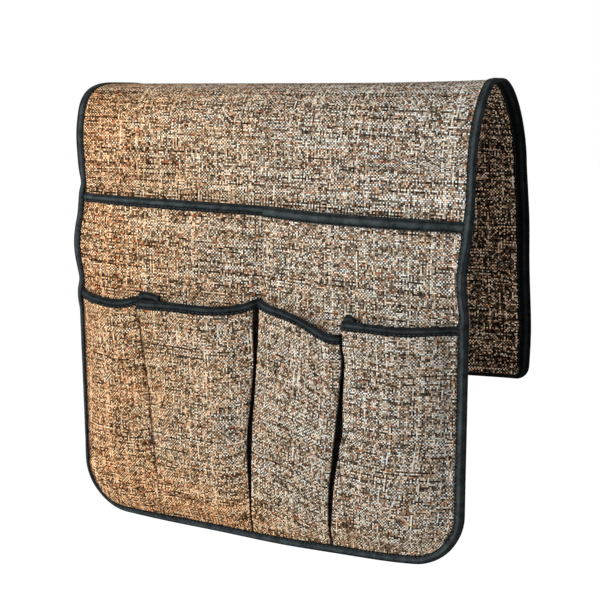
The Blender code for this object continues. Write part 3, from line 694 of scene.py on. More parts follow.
# How many streaks, slubs and hues a yarn has in a metre, and how many drifts and clouds the cloth has.
STREAKS, SLUBS, HUE_TURNS, DRIFTS, CLOUDS = 38.0, 55.0, 70.0, 70.0, 22.0


def linen_material(name, seed, shade, painted_shade_harshness=0.0, tints=PLACE_TINTS):
    """A plain weave of slubby yarns. Each changes its tone at each crossing and, slowly, its hue."""
    g = Graph(bpy.data.materials.new(name))
    u, v = g.cloth_place()
    salt = seed * 3.7

    def in_threads(place, other, more):
        """A cloth coordinate in threads that drift a little from their lines."""
        drift = g.noise(g.vector(place, other, salt + more), scale=DRIFTS, detail=1.0)
        return (place + g.remap(drift, 0.0, 1.0, -THREAD_DRIFT, THREAD_DRIFT)) / THREAD_PITCH

    across, down = in_threads(u, v, 0.0), in_threads(v, u, 9.0)
    warp, weft = g.math("FLOOR", across), g.math("FLOOR", down)
    from_warp, from_weft = g.math("FRACT", across) - 0.5, g.math("FRACT", down) - 0.5

    def yarn(index, crossing, length, kind, lightness):
        """(colour, half width) of a yarn by its number, the yarn that it crosses and the place along it."""
        place, lane = kind + salt, index * 5.31
        own = g.white(g.vector(index, kind, salt))
        here, beside = (g.white(g.vector(index, at, place + 30.0)) for at in (crossing, crossing + 1.0))
        streak = g.noise(g.vector(lane, length * STREAKS, place), detail=2.0, roughness=0.65)
        slub = g.noise(g.vector(lane, length * SLUBS, place + 4.0), detail=1.0)
        hue = g.noise(g.vector(lane, length * HUE_TURNS, place + 12.0), detail=1.0)
        share = g.remap(streak, 0.34, 0.66, -0.5, 0.5) * 0.46
        share = share + g.remap(here - beside, -1.0, 1.0, -0.64, 0.64)
        bright = g.remap(own, 0.74, 0.86, 0.0, 0.40) * g.remap(streak, 0.42, 0.56)
        dark = g.remap(own, 0.26, 0.14, 0.0, -0.36) * g.remap(streak, 0.58, 0.44)
        colour = g.ramp(share + bright + dark + lightness, YARN)
        return g.tinted(colour, g.ramp(g.remap(hue, 0.34, 0.66), HUES)), g.remap(slub, 0.30, 0.72, 0.32, 0.54)

    warp_colour, warp_width = yarn(warp, weft, v, 1.0, WARP_LIGHTNESS)
    weft_colour, weft_width = yarn(weft, warp, u, 2.0, WEFT_LIGHTNESS)
    over = 1.0 - g.math("MODULO", g.math("ABSOLUTE", warp + weft), 2.0) * 2.0

    def height(off, width, along, way):
        """Height of a yarn's round back, which goes over and under by turns, and -1 beside it."""
        back = 1.0 - (g.math("ABSOLUTE", off) / width) ** 2.0
        lift = g.math("COSINE", along * math.pi) * (over * way)
        return (back * 0.62 + lift * 0.45 + 1.0) * (back > 0.0) - 1.0

    warp_height = height(from_warp, warp_width, from_weft, 1.0)
    weft_height = height(from_weft, weft_width, from_warp, -1.0)
    top = g.math("MAXIMUM", g.math("MAXIMUM", warp_height, weft_height), -0.5)
    colour = g.mix(warp_height > weft_height, weft_colour, warp_colour)
    fleck = g.white(g.vector(g.math("FLOOR", across / 2.0), weft, salt + 21.0)) > RUST_FROM
    colour = g.mix(fleck * RUST_STRENGTH, colour, RUST)
    clouds = g.noise(g.vector(u, v, salt + 5.0), scale=CLOUDS, detail=3.0)
    low = g.remap(v, LOW_FROM, LOW_TO, 0.0, 0.42, "SMOOTHSTEP")
    side = g.remap(u, -SHEET_WIDTH / 2, SHEET_WIDTH / 2) - low + g.remap(clouds, 0.2, 0.8, -0.16, 0.16)
    colour = g.tinted(colour, g.ramp(side, tints))
    # Painted shade: for the reverse, the colour is darkened by its own lightness squared and the gaps go
    # black, so the cloth looks as though in shade.
    level = g.node("ShaderNodeRGBToBW", {0: colour}) ** 2.0
    colour = g.mix(painted_shade_harshness, colour, g.shaded(colour, level))
    # Painted shade: the gaps between the yarns and the edges of each yarn's back are darkened; the level is
    # also scaled by the clouds and the material's shade.
    painted_gap_shade_and_tone = g.remap(top, -0.1, 0.8, PAINTED_GAP_SHADE * (1.0 - painted_shade_harshness), 1.25)
    painted_gap_shade_and_tone = painted_gap_shade_and_tone * g.remap(clouds, 0.25, 0.75, 0.95 * shade, 1.05 * shade)
    # Painted shade: cloth deep in the pleats, seams and creases is darkened by the fold attribute.
    fold = g.node("ShaderNodeAttribute", output="Fac", attribute_name="fold_depth")
    g.surface({
        "Base Color": g.shaded(colour, painted_gap_shade_and_tone * g.remap(fold, 0.0, 1.0, 1.0, PAINTED_FOLD_SHADE_LEVEL)),
        "Roughness": g.remap(top, -0.5, 0.9, 0.98, 0.80),
        "Sheen Weight": 0.02,
        "Sheen Roughness": 0.5,
        "Specular IOR Level": 0.06,
    })
    g.bump(top, 0.6, 0.00045)
    return g.data


# The tape's tone across it, from its fold: a painted sheen in the middle, painted shade beside the fold and
# at the sewn edge.
TAPE_PAINTED_SHEEN_AND_SHADE = (
    (0.00, (0.30, 0.30, 0.30)),
    (0.14, (0.30, 0.31, 0.32)),
    (0.34, (1.50, 1.50, 1.50)),
    (0.52, (1.15, 1.20, 1.22)),
    (0.70, (0.22, 0.23, 0.24)),
    (0.86, (0.40, 0.40, 0.40)),
)
TAPE_DARK, TAPE_PALE = (0.0100, 0.0140, 0.0165, 1.0), (0.0460, 0.0550, 0.0580, 1.0)
TAPE_FIBRE, TAPE_RUBBED_AND_HIGHLIGHT = (0.110, 0.124, 0.130, 1.0), (0.100, 0.112, 0.118, 1.0)
TWILL_PITCH = 0.0009
THREAD_DARK, THREAD_PALE = (0.010, 0.012, 0.014, 1.0), (0.036, 0.041, 0.044, 1.0)
TWIST_PITCH = 0.0006


def tape_material(name, seed, tone=1.0):
    """Charcoal twill tape, paler where its fold is worn by rubbing and where a highlight is painted along it,
    with a painted sheen and painted shade across its face. v is 0 at the fold.
    """
    g = Graph(bpy.data.materials.new(name))
    u, v = g.cloth_place()
    from_fold = g.math("ABSOLUTE", v)
    twill = g.math("SINE", (u + v * 0.8) * (2.0 * math.pi / TWILL_PITCH))
    patches = g.noise(g.vector(u, v, seed * 2.3), scale=120.0, detail=3.0)
    fibres = g.noise(g.vector(u * 0.35, v, seed * 5.1), scale=1400.0, detail=2.0)
    # Paler along the fold: partly wear from rubbing, partly a painted highlight.
    rubbed_and_highlight = g.remap(from_fold, 0.0003, 0.0016, 1.0, 0.0, "SMOOTHSTEP")
    rubbed_and_highlight = rubbed_and_highlight * g.remap(patches, 0.35, 0.70, 0.25, 1.0)
    base = g.mix(g.remap(patches, 0.3, 0.7), TAPE_DARK, TAPE_PALE)
    base = g.mix(g.remap(fibres, 0.45, 0.75) * 0.35, base, TAPE_FIBRE)
    # Painted sheen and shade across the tape's face.
    base = g.tinted(base, g.ramp(from_fold / TAPE_WIDTH, TAPE_PAINTED_SHEEN_AND_SHADE))
    base = g.mix(rubbed_and_highlight * 0.25, base, TAPE_RUBBED_AND_HIGHLIGHT)
    g.surface({
        "Base Color": g.shaded(base, g.remap(twill, -1.0, 1.0, 0.78, 1.15) * tone),
        "Roughness": g.remap(patches, 0.3, 0.7, 0.70, 0.55),
        "Specular IOR Level": 0.01,
    })
    g.bump(twill * 0.35 + fibres * 0.8, 0.5, 0.00018)
    return g.data


def thread_material(name):
    """Twisted sewing thread, a little lighter than the tape."""
    g = Graph(bpy.data.materials.new(name))
    u, v = g.cloth_place()
    twist = g.math("SINE", (u + v) * (2.0 * math.pi / TWIST_PITCH))
    colour = g.mix(g.remap(twist, -1.0, 1.0), THREAD_DARK, THREAD_PALE)
    g.surface({"Base Color": colour, "Roughness": 0.55})
    g.bump(twist, 0.5, 0.00008)
    return g.data


LINEN = linen_material("linen_sheet", 1, 1.20)
LINEN_UPPER = linen_material("linen_upper", 2, 1.20)
LINEN_LOWER = linen_material("linen_lower", 3, 1.10)
# The reverse is a shaded copy of the same weave: darker, with harsher contrast, as painted shade.
LINEN_REVERSE_PAINTED_SHADE = linen_material("linen_reverse", 4, 4.0, 1.0, REVERSE_TINTS)
TAPE_EDGE = tape_material("tape_edge", 1)
# The back leaf's binding is the same tape, darkened as painted shade.
TAPE_BACK_PAINTED_SHADE = tape_material("tape_back", 4, 0.35)
TAPE_UPPER = tape_material("tape_upper", 2)
TAPE_LOWER = tape_material("tape_lower", 3, 0.70)
THREAD = thread_material("sewing_thread")


def across_joint(piece):
    """Bakes the piece's place into its mesh. The piece runs from the crest into the leaf."""
    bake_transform(piece)


# The sheet.


def sheet_cloth(leaf):
    half = SHEET_WIDTH / 2
    columns = lines_between(-half, half, COLUMN_PITCH, (-half + leaf.radius, half - leaf.radius))
    stop = run_at(leaf, leaf.drop)
    kept = (CREST_RUN[leaf.name], run_at(leaf, leaf.drop - leaf.radius))
    if leaf is BACK:
        kept += tuple(run_at(leaf, BACK_CREASE_DROP + step * BACK_CREASE_WIDTH) for step in (-2, -1, 0, 1, 2))
    x, run = np.meshgrid(columns, lines_between(0.0, stop, ROW_PITCH, kept))
    round_x, round_drop = rounded(leaf, x, drop_at(leaf, run))
    run = np.where(run > CREST_RUN[leaf.name], run_at(leaf, round_drop), run)
    uv = np.stack([round_x, -leaf.side * run], axis=-1)
    depth = 0.0 * round_x
    # Painted shade: a dark line along the back leaf's crease.
    if leaf is BACK:
        from_crease = (drop_at(leaf, run) - BACK_CREASE_DROP - BACK_CREASE_WIDTH) / BACK_CREASE_WIDTH
        depth = 0.8 * np.exp(-from_crease ** 2)
    grid = sheet_point(leaf, round_x, run)
    looks = (LINEN, LINEN_REVERSE_PAINTED_SHADE)
    made = shell("sheet_" + leaf.name, grid, uv, SHEET_THICKNESS, looks, leaf.side, depth=depth)
    across_joint(made)
    return made, (SHEET_WIDTH, float(stop))


# The binding. A path runs round one half of the sheet's edge, from the seat's one end to the other.


def edge_path(leaf):
    """(x, drop, way in by x, way in by drop, run along the path) of points along the leaf's whole edge."""
    half, radius = SHEET_WIDTH / 2, leaf.radius
    corner_run = run_at(leaf, leaf.drop - radius)
    sides = lines_between(0.0, corner_run, PATH_PITCH, (CREST_RUN[leaf.name],))
    turns = np.linspace(0.0, math.pi / 2, max(round(math.pi / 2 * radius / PATH_PITCH), 8) + 1)[1:]
    hem = lines_between(-half + radius, half - radius, PATH_PITCH)[1:-1]
    left = [(-half, drop_at(leaf, run), 1.0, 0.0) for run in sides]
    for turn in turns:
        x = -(half - radius + radius * math.cos(turn))
        left.append((x, leaf.drop - radius + radius * math.sin(turn), math.cos(turn), -math.sin(turn)))
    right = [(-x, drop, -in_x, in_drop) for x, drop, in_x, in_drop in reversed(left)]
    path = np.array(left + [(x, leaf.drop, 0.0, -1.0) for x in hem] + right)
    return np.column_stack([path, lengths_along(path[:, :2])])


def edge_face(leaf, path):
    """Offset of the cloth that the binding's outer half lies on."""
    if leaf is BACK:
        return np.full(len(path), SHEET_THICKNESS / 2)
    face = linear_at(binding_face_table(), path[:, 1])
    return np.convolve(np.pad(face, 1, mode="edge"), (0.25, 0.5, 0.25), mode="valid")


def folded_tape(name, grid, run, across, look, line, lead):
    """(piece, outward normals) of a tape from its grid. At the given line, lead points to its outer side."""
    uv = np.stack(np.broadcast_arrays(run, across), axis=-1)
    normals = grid_normals(grid, 1)
    side = -1 if float(np.sum(normals[line] * lead)) < 0.0 else 1
    normals = normals * side
    return shell(name, grid, uv, TAPE_THICKNESS, (look,), side, normals), normals


# The folded tape's section: (distance in from the edge, 1 outside to -1 inside, crown).
BINDING_SECTION = (
    (BINDING_WIDTH, 1.0, -0.1), (0.0065, 1.0, 0.05), (0.0058, 1.0, -0.05), (0.0050, 1.0, 0.35),
    (0.0036, 1.0, 0.75), (0.0022, 1.0, 0.8), (0.0008, 1.0, 0.45), (-0.0003, 0.80, 0.1), (-0.00085, 0.35, 0.0),
    (-0.00085, -0.35, 0.0), (-0.0003, -0.80, 0.1), (0.0008, -1.0, 0.35), (0.0030, -1.0, 0.6),
    (0.0060, -1.0, 0.5), (0.0088, -1.0, 0.1), (0.0096, -1.0, -0.1), (BINDING_INNER_WIDTH, -1.0, 0.0),
)
SEWN_LINES = (2, 15)
CROWN = 0.0006
# How far from the fold, in cloth coordinates, either face of a tape begins.
FACE_START = 0.0004


def binding(leaf):
    path = edge_path(leaf)
    middle_front = edge_face(leaf, path) + CLEARANCE + TAPE_THICKNESS / 2
    middle_back = -SHEET_THICKNESS / 2 - CLEARANCE - TAPE_THICKNESS / 2
    pucker = 1.0 + 0.35 * noise(path[:, 4] / 0.011, 0.5, 7)
    drift = 0.0005 * noise(path[:, 4] / 0.055, 0.5, 8)
    columns, across = [], []
    for inset, level, crown in BINDING_SECTION:
        offset = blend(middle_back, middle_front, (level + 1.0) / 2.0)
        offset = offset + np.sign(level) * CROWN * crown * pucker
        depth = inset + drift * max(inset, 0.0) / BINDING_WIDTH
        if leaf is BACK and level < 0.0:
            depth = depth * blend(1.0, BACK_HEM_SHARE, path[:, 3] ** 2)
        x, drop = path[:, 0] + path[:, 2] * depth, path[:, 1] + path[:, 3] * depth
        columns.append(sheet_point(leaf, x, run_at(leaf, drop), offset))
        across.append(math.copysign(max(inset, 0.0) + FACE_START, level))
    grid = np.stack(columns, axis=1)
    lead = sheet_frame(leaf, path[:, 0], run_at(leaf, path[:, 1]))[1]
    # The back leaf's binding takes the tape darkened as painted shade.
    look = TAPE_EDGE if leaf is FRONT else TAPE_BACK_PAINTED_SHADE
    name, outer_line = "binding_" + leaf.name, (slice(None), 3)
    made, normals = folded_tape(name, grid, path[:, 4:], np.array([across]), look, outer_line, lead)
    across_joint(made)
    return made, grid, normals


# Stitches: short threads that follow a line of points on a surface.

STITCH_PITCH = 0.0042
STITCH_LENGTH = 0.0029
STITCH_RADIUS = 0.00030
STITCH_PROBE = 0.0008
# A stitch's rings: (place along it, girth, lift), and how many points go round each.
STITCH_RINGS = (
    (-0.5, 0.25, -0.5), (-0.36, 0.85, 0.0), (0.0, 1.0, 0.35), (0.36, 0.85, 0.0), (0.5, 0.25, -0.5),
)
RING_POINTS = 6


def stitch_faces():
    """The faces of one stitch, by the numbers of its points."""
    rings, around = len(STITCH_RINGS), RING_POINTS
    faces = []
    for ring in range(rings - 1):
        for step in range(around):
            a, b = ring * around + step, ring * around + (step + 1) % around
            faces.append((a, b, b + around, a + around))
    return faces + [tuple(range(around))[::-1], tuple(range((rings - 1) * around, rings * around))]


def stitch_points(line, normals):
    """The points of the stitches along a line of points, stitch by stitch."""
    run = lengths_along(line)
    count = int(run[-1] / STITCH_PITCH)
    places = (np.arange(count) + 0.5) * run[-1] / max(count, 1)

    def at(values, ahead=0.0):
        return np.stack([np.interp(places + ahead, run, values[:, k]) for k in range(3)], axis=-1)

    middle, out = at(line), unit(at(normals))
    way = unit(at(line, STITCH_PROBE) - at(line, -STITCH_PROBE))
    side = unit(np.cross(way, out))
    points = []
    for place, girth, lift in STITCH_RINGS:
        for step in range(RING_POINTS):
            turn = 2.0 * math.pi * step / RING_POINTS
            spoke = out * math.sin(turn) * 0.8 + side * math.cos(turn)
            off = way * place * STITCH_LENGTH + (spoke * girth + out * lift) * STITCH_RADIUS
            points.append(middle + off)
    return np.stack(points, axis=1).reshape(-1, 3)


def stitching(name, rows):
    """One piece of all the stitches along the given lines."""
    points = np.concatenate([stitch_points(line, normals) for line, normals in rows])
    starts = range(0, len(points), len(STITCH_RINGS) * RING_POINTS)
    faces = [tuple(corner + start for corner in face) for start in starts for face in stitch_faces()]
    uv = points[[corner for face in faces for corner in face]][:, [0, 2]]
    mesh = new_mesh(name, points, faces, uv, (THREAD,))
    mesh.update()
    made = link(name, mesh)
    return made


# Mouth tapes, folded over the first rows of a pocket's grid.


def tape_rows(drops, width):
    """How many of a pocket's rows its mouth tape covers."""
    return int(np.argmin(np.abs(drops - drops[0] - width)))


def mouth_tape(name, grid, last_row, normals, look, columns=slice(None)):
    """(piece, grid, outward normals) of the tape on the given columns of a pocket's grid."""
    part, out = grid[:last_row + 1, columns], normals[:last_row + 1, columns]
    stand = POCKET_THICKNESS / 2 + CLEARANCE + TAPE_THICKNESS / 2
    top = part[0]
    up = unit(top - part[1])
    run = lengths_along(top)
    pucker = 1.0 + 0.3 * noise(run / 0.009, 0.5, 17)[:, None]
    lines, across = [], []
    for row in range(last_row, -1, -1):
        share = 1.0 - row / last_row
        crown = CROWN * (0.75 * math.sin(math.pi * min(share * 1.15, 1.0)) ** 0.7) * pucker
        lines.append(part[row] + out[row] * (stand + crown))
        across.append(TAPE_WIDTH * (1.0 - share) + FACE_START)
    for forward, rise in ((0.72, 0.65), (0.0, 1.0), (-0.72, 0.65)):
        lines.append(top + out[0] * stand * forward + up * stand * rise)
        across.append(0.0)
    for row in range(last_row + 1):
        lines.append(part[row] - out[row] * stand)
        across.append(-TAPE_WIDTH * row / last_row - FACE_START)
    made = np.stack(lines, axis=0)
    piece, cover = folded_tape(name, made, run[None], np.array(across)[:, None], look, 1, out[0])
    return piece, made, cover


# The upper pockets: one cloth with a seam down its middle.


def mouth_raise(x, drop):
    """How far the upper mouth stands higher on its left half."""
    below = 1.0 - ease((drop - UPPER_MOUTH_DROP - TAPE_WIDTH) / 0.05)
    return LEFT_MOUTH_RAISE * (1.0 - ease((x + 0.005) / 0.07)) * below


def pocket_cloth(name, grid, start_u, start_v, look, depth=None):
    """(cloth, outward normals) of a pocket from its grid."""
    normals, uv = grid_normals(grid, FRONT.side), cloth_uv(grid, start_u, start_v)
    return shell(name, grid, uv, POCKET_THICKNESS, (look, LINEN_REVERSE_PAINTED_SHADE), FRONT.side, normals, depth), normals


def upper_pockets():
    """(cloth, its grid, its two mouth tapes)."""
    half = SHEET_WIDTH / 2 - TUCK
    inner = SHEET_WIDTH / 2 - BINDING_WIDTH
    columns = lines_between(-half, half, COLUMN_PITCH, (-inner, 0.0, inner))
    kept = tuple(UPPER_MOUTH_DROP + width for width in (LEFT_TAPE_WIDTH, TAPE_WIDTH))
    kept += (FRONT_DROP - FRONT_CORNER_RADIUS,)
    drops = lines_between(UPPER_MOUTH_DROP, FRONT_DROP - TUCK, ROW_PITCH, kept)
    at_x, at_drop = rounded(FRONT, *np.meshgrid(columns, drops), TUCK)
    offset = upper_offset(at_x, at_drop) - SEAM_DENT * np.exp(-(at_x / SEAM_DENT_WIDTH) ** 2)
    grid = sheet_point(FRONT, at_x, run_at(FRONT, at_drop - mouth_raise(at_x, at_drop)), offset)
    cloth, normals = pocket_cloth("upper_pockets", grid, 0.0, UPPER_MOUTH_DROP, LINEN_UPPER)
    middle = int(np.argmin(np.abs(columns)))
    tapes = []
    for label, width, part in (
        ("left", LEFT_TAPE_WIDTH, slice(1, middle + 1)),
        ("right", TAPE_WIDTH, slice(middle, len(columns) - 1)),
    ):
        name = "upper_tape_" + label + "_fold"
        tapes.append(mouth_tape(name, grid, tape_rows(drops, width), normals, TAPE_UPPER, part))
    return cloth, grid, tapes


# The lower pockets.


def width_at(shares, depth):
    return SHEET_WIDTH * curve_at(shares, depth)


def pleat_edge(number, depth):
    seam = width_at(DIVIDER_SHARES[number - 2], depth) + CLEARANCE / 2
    return np.minimum(width_at(PLEAT_FOLD_SHARES[number], depth), seam)


def depth_at(drop):
    return (drop - LOWER_MOUTH_DROP) / (FRONT_DROP - LOWER_MOUTH_DROP)


def side_places(pocket, hand, depth):
    """(seam, foot, fold) of one side of a pocket."""
    kind = pocket.left_kind if hand == "left" else pocket.right_kind
    way = 1.0 if hand == "left" else -1.0
    if kind == "flap":
        return (pleat_edge(pocket.number, depth),) * 3
    if (pocket.number, hand) in ((1, "left"), (4, "right")):
        half = SHEET_WIDTH / 2
        inner = half - BINDING_WIDTH - CLEARANCE
        level = 0.0 * depth
        return level - way * (half - TUCK), level - way * inner, level - way * inner
    divider = DIVIDER_SHARES[pocket.number - (2 if hand == "left" else 1)]
    seam = width_at(divider, depth) + way * CLEARANCE / 2
    if kind == "sewn":
        foot = np.minimum(pleat_edge(pocket.number + 1, depth), seam) - FLANGE_WIDTH
        return seam, foot, foot
    fold = width_at(WALL_FOLD_SHARES[pocket.number, hand], depth)
    return seam, fold + way * WALL_LEAN * linear_at(WALL_LEAN_SHARES[pocket.number, hand], depth), fold


def neighbour_mouth(number):
    return LOWER_MOUTH_DROP + MOUTH_DROOP * max(LOWER_POCKETS[number - 2].droop_shares[-1][1], 0.0)


def layers_over(number, drop, layers):
    taped = mouth_share(drop - neighbour_mouth(number))
    own = mouth_share(drop - LOWER_MOUTH_DROP)
    return layers * (LAYER_STEP + CLEARANCE / 2 + 2.0 * TAPE_STEP * taped) + TAPE_STEP * (taped - own)


def heights_at(pocket, drop):
    depth = depth_at(drop)
    tables = [[(row[0], row[1 + side]) for row in pocket.height_shares] for side in range(3)]
    left, middle, right = (POCKET_FULLNESS * curve_at(table, depth) for table in tables)
    if pocket.left_kind == "flap":
        left = left + layers_over(pocket.number, drop, 2)
    return left, middle, right


# A wall from its foot to its fold: (share along it, share of the way across), (share along it, share up).
WALL_ACROSS = ((0.0, 0.0), (0.25, 0.28), (0.5, 0.66), (0.8, 0.98), (1.0, 1.0))
WALL_UP = ((0.0, 0.0), (0.25, 0.20), (0.5, 0.50), (0.8, 0.83), (1.0, 0.97))
WALL_STEPS = 7
# Extra columns of a front: distances in from the right side of pocket 1 and from the left side of pocket 4.
CLOSE_RIGHT = np.array([0.0030, 0.0020, 0.0013, 0.0008, 0.0004])
CLOSE_LEFT = np.arange(0.001, 0.020, 0.0008)
CLOSE_LEFT_END = 0.0205


def pocket_columns(pocket):
    """(zone, share) of each column of a pocket's grid, from left to right."""
    walls = [step / WALL_STEPS for step in range(1, WALL_STEPS + 1)]
    if pocket.left_kind == "flap":
        columns = [("under", 1.0), ("under", 0.5), ("front", 0.0)]
    else:
        columns = [("left seam", share) for share in (0.0, 0.5, 1.0)]
    if pocket.left_kind == "wall":
        columns += [("left wall", share) for share in walls]
    left, right = (side_places(pocket, hand, np.array(0.0))[2] for hand in ("left", "right"))
    width = float(right - left)
    shares = np.linspace(0.0, 1.0, max(int(round(width / COLUMN_PITCH)), 12) + 1)[1:-1]
    if pocket.number == 1:
        shares = np.concatenate([shares[:-1], 1.0 - CLOSE_RIGHT / width])
    if pocket.number == 4:
        shares = np.concatenate([CLOSE_LEFT / width, shares[shares * width > CLOSE_LEFT_END]])
    columns += [("front", float(share)) for share in shares]
    if pocket.right_kind == "wall":
        columns += [("right wall", share) for share in reversed(walls)]
    return columns + [("right seam", share) for share in (1.0, 0.5, 0.0)]


# Wrinkles of each lower pocket: (height, slant, size across the wrinkle, size along it).
WRINKLES = {
    1: (0.0007, 0.15, 0.016, 0.070),
    2: (0.0008, -0.20, 0.015, 0.060),
    3: (0.0017, -0.75, 0.014, 0.060),
    4: (0.0007, 0.10, 0.018, 0.070),
}


def wrinkles(pocket, x, drop):
    height, slant, across, along_it = WRINKLES[pocket.number]
    cos, sin = math.cos(slant), math.sin(slant)
    soft = noise((x * cos + drop * sin) / across, (drop * cos - x * sin) / along_it, 30 + pocket.number)
    depth = depth_at(drop)
    creases = noise(x / 0.010, drop / 0.022, 40 + pocket.number) * 0.6 * ease((depth - 0.72) / 0.2)
    return height * (soft * ease(depth * 6.0 + 0.3) + creases) * (1.0 - 0.5 * depth)


def crease(x, depth):
    """(distance from the crease of pocket 4 in shares of its width, how much of the crease shows)."""
    shown = ease((depth - CREASE_FROM) / CREASE_FADE) * (1.0 - ease((depth - CREASE_TO) / CREASE_FADE))
    return (x - width_at(CREASE_SHARES, depth)) / CREASE_WIDTH, shown


def column_at(pocket, column, drop):
    """(x, height) of a column of a pocket's grid at each drop."""
    zone, share = column
    depth = depth_at(drop)
    left, middle, right = heights_at(pocket, drop)
    (_, _, left_fold), (_, _, right_fold) = (side_places(pocket, hand, depth) for hand in ("left", "right"))
    if zone == "front":
        base = middle if pocket.left_kind == "flap" else np.maximum(middle - (left + right) / 2, 0.0)
        bulge = (4.0 * share * (1.0 - share)) ** 0.85
        x = blend(left_fold, right_fold, share)
        height = blend(left, right, ease(share)) + bulge * base
        if pocket.number == 1:
            # The right side stays full and closes onto the pleat in its last 2 mm.
            close = ease(0.5 + (share - 0.9) * 5.0) * ease((1.0 - share) * 0.095 / 0.0016)
            height = bulge * middle + right * close
        if pocket.number == 4:
            from_crease, shown = crease(x, depth)
            height = height - CREASE_DEPTH * np.exp(-from_crease ** 2) * shown
        return x, height + bulge ** 0.5 * wrinkles(pocket, x, drop)
    if zone == "under":
        return left_fold + share * 0.0012, left - share * 0.0011
    hand, kind = zone.split()
    seam, foot, fold = side_places(pocket, hand, depth)
    if kind == "seam":
        return blend(seam, foot, share), 0.0 * drop
    height = left if hand == "left" else right
    return blend(foot, fold, curve_at(WALL_ACROSS, share)), height * curve_at(WALL_UP, share)


def mouth_droop(pocket, x):
    left, right = (side_places(pocket, hand, np.array(0.0))[0] for hand in ("left", "right"))
    return MOUTH_DROOP * curve_at(pocket.droop_shares, (x - left) / (right - left))


def fold_depth(pocket, column, drop):
    """How deep in a fold a column of a pocket lies, which darkens it as painted shade: 0 on its front, 1
    where hardly any light comes. On pocket 4's front it is a painted line of shade along the crease.
    """
    zone, share = column
    if zone == "front" and pocket.number == 4:
        from_crease, shown = crease(column_at(pocket, column, drop)[0], depth_at(drop))
        return 0.85 * np.exp(-1.2 * from_crease ** 2) * shown
    if zone == "front":
        return 0.0 * drop
    return (ease((1.0 - share) / 0.25) if "wall" in zone else 1.0) + 0.0 * drop


def lower_place(x, drop, below_mouth, height):
    x, drop = rounded(FRONT, x, drop, TUCK)
    offset = upper_offset(x, drop) + LAYER_STEP + TAPE_STEP * mouth_share(below_mouth)
    return sheet_point(FRONT, x, run_at(FRONT, drop), offset + height * free_share(x, drop))


def lower_drops():
    kept = (LOWER_MOUTH_DROP + LOWER_TAPE_WIDTH, FRONT_DROP - FRONT_CORNER_RADIUS, FRONT_DROP - BINDING_WIDTH)
    return lines_between(LOWER_MOUTH_DROP, FRONT_DROP - TUCK, ROW_PITCH, kept)


def lower_cloth(label, number, grid, last_row, depth):
    """((cloth, its grid), its mouth tape) of a lower pocket or a pleat."""
    name = "lower_{}_" + str(number) + "_{}"
    start_u = float(grid[0, grid.shape[1] // 2, 0])
    cloth_name = name.format("pocket", label + "fold" if label else "cloth")
    cloth, normals = pocket_cloth(cloth_name, grid, start_u, LOWER_MOUTH_DROP, LINEN_LOWER, depth)
    return (cloth, grid), mouth_tape(name.format("tape", label + "fold"), grid, last_row, normals, TAPE_LOWER)


def lower_pocket(pocket):
    drops = lower_drops()
    hem = FRONT_DROP - BINDING_WIDTH - CLEARANCE - LAYER_EASE
    ease_from = LOWER_MOUTH_DROP + TAPE_WIDTH + LAYER_EASE
    follows = np.clip((hem - drops) / (hem - ease_from), 0.0, 1.0)
    columns = pocket_columns(pocket)
    lines = []
    for column in columns:
        x, height = column_at(pocket, column, drops)
        droop = mouth_droop(pocket, column_at(pocket, column, np.array([LOWER_MOUTH_DROP]))[0])
        lines.append(lower_place(x, drops + droop * follows, drops - LOWER_MOUTH_DROP, height))
    depth = np.stack([fold_depth(pocket, column, drops) for column in columns], axis=1)
    return lower_cloth("", pocket.number, np.stack(lines, axis=1), tape_rows(drops, LOWER_TAPE_WIDTH), depth)


def pleat(number):
    """The folded-under part of a pleat and its end of the tape."""
    drops = lower_drops()
    fold = pleat_edge(number, depth_at(drops))
    seam = width_at(DIVIDER_SHARES[number - 2], depth_at(drops)) - CLEARANCE / 2
    drops = drops[seam - fold >= PLEAT_END_WIDTH]
    fold, seam = fold[:len(drops)], seam[:len(drops)]
    below = drops - LOWER_MOUTH_DROP
    height = layers_over(number, drops, 1)
    lift = heights_at(LOWER_POCKETS[number - 1], drops)[0] - layers_over(number, drops, 2)
    lines = []
    for share in np.linspace(0.0, 1.0, PLEAT_COLUMNS):
        arch = PLEAT_ARCH[number] * math.sin(math.pi * min(share * 1.1, 1.0) ** 0.8) ** 0.5
        rise = (PLEAT_RISE[number] + arch) * mouth_share(below)
        x = blend(fold + PLEAT_FOLD_IN, seam + SEAM_ALLOWANCE, share)
        lines.append(lower_place(x, drops - rise, below, height + lift * (1.0 - share) ** 1.5))
    grid = np.stack(lines, axis=1)
    # The folded-under part of a pleat is darkened all over as painted shade.
    return lower_cloth("pleat_", number, grid, tape_rows(drops, LOWER_TAPE_WIDTH), np.ones(grid.shape[:2]))


def declare(grid, nodes):
    """Works out a piece of cloth's area, which nothing uses, and hides the model's nodes that the piece
    stands for.
    """
    width, length = float(lengths_along(grid, 1)[:, -1].max()), float(lengths_along(grid)[-1].max())
    across, down = np.diff(grid, axis=1), np.diff(grid, axis=0)
    area = float(np.linalg.norm(np.cross(across[:-1], down[:, :-1]), axis=-1).sum())
    area = max(min(area, width * length), LEAST_AREA_SHARE * width * length)
    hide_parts(*nodes)


SHEET_SLOTS = ("linen", "linen_reverse")
SHEET_NODES = (("crest_panel", "front_panel"), ("back_panel",))
EDGE_NODES = (
    (
        "crest_binding_left", "crest_binding_right", "front_binding_left", "front_binding_left_corner",
        "front_binding_hem", "front_binding_right_corner", "front_binding_right",
    ),
    ("back_binding_left", "back_binding_hem", "back_binding_right"),
)


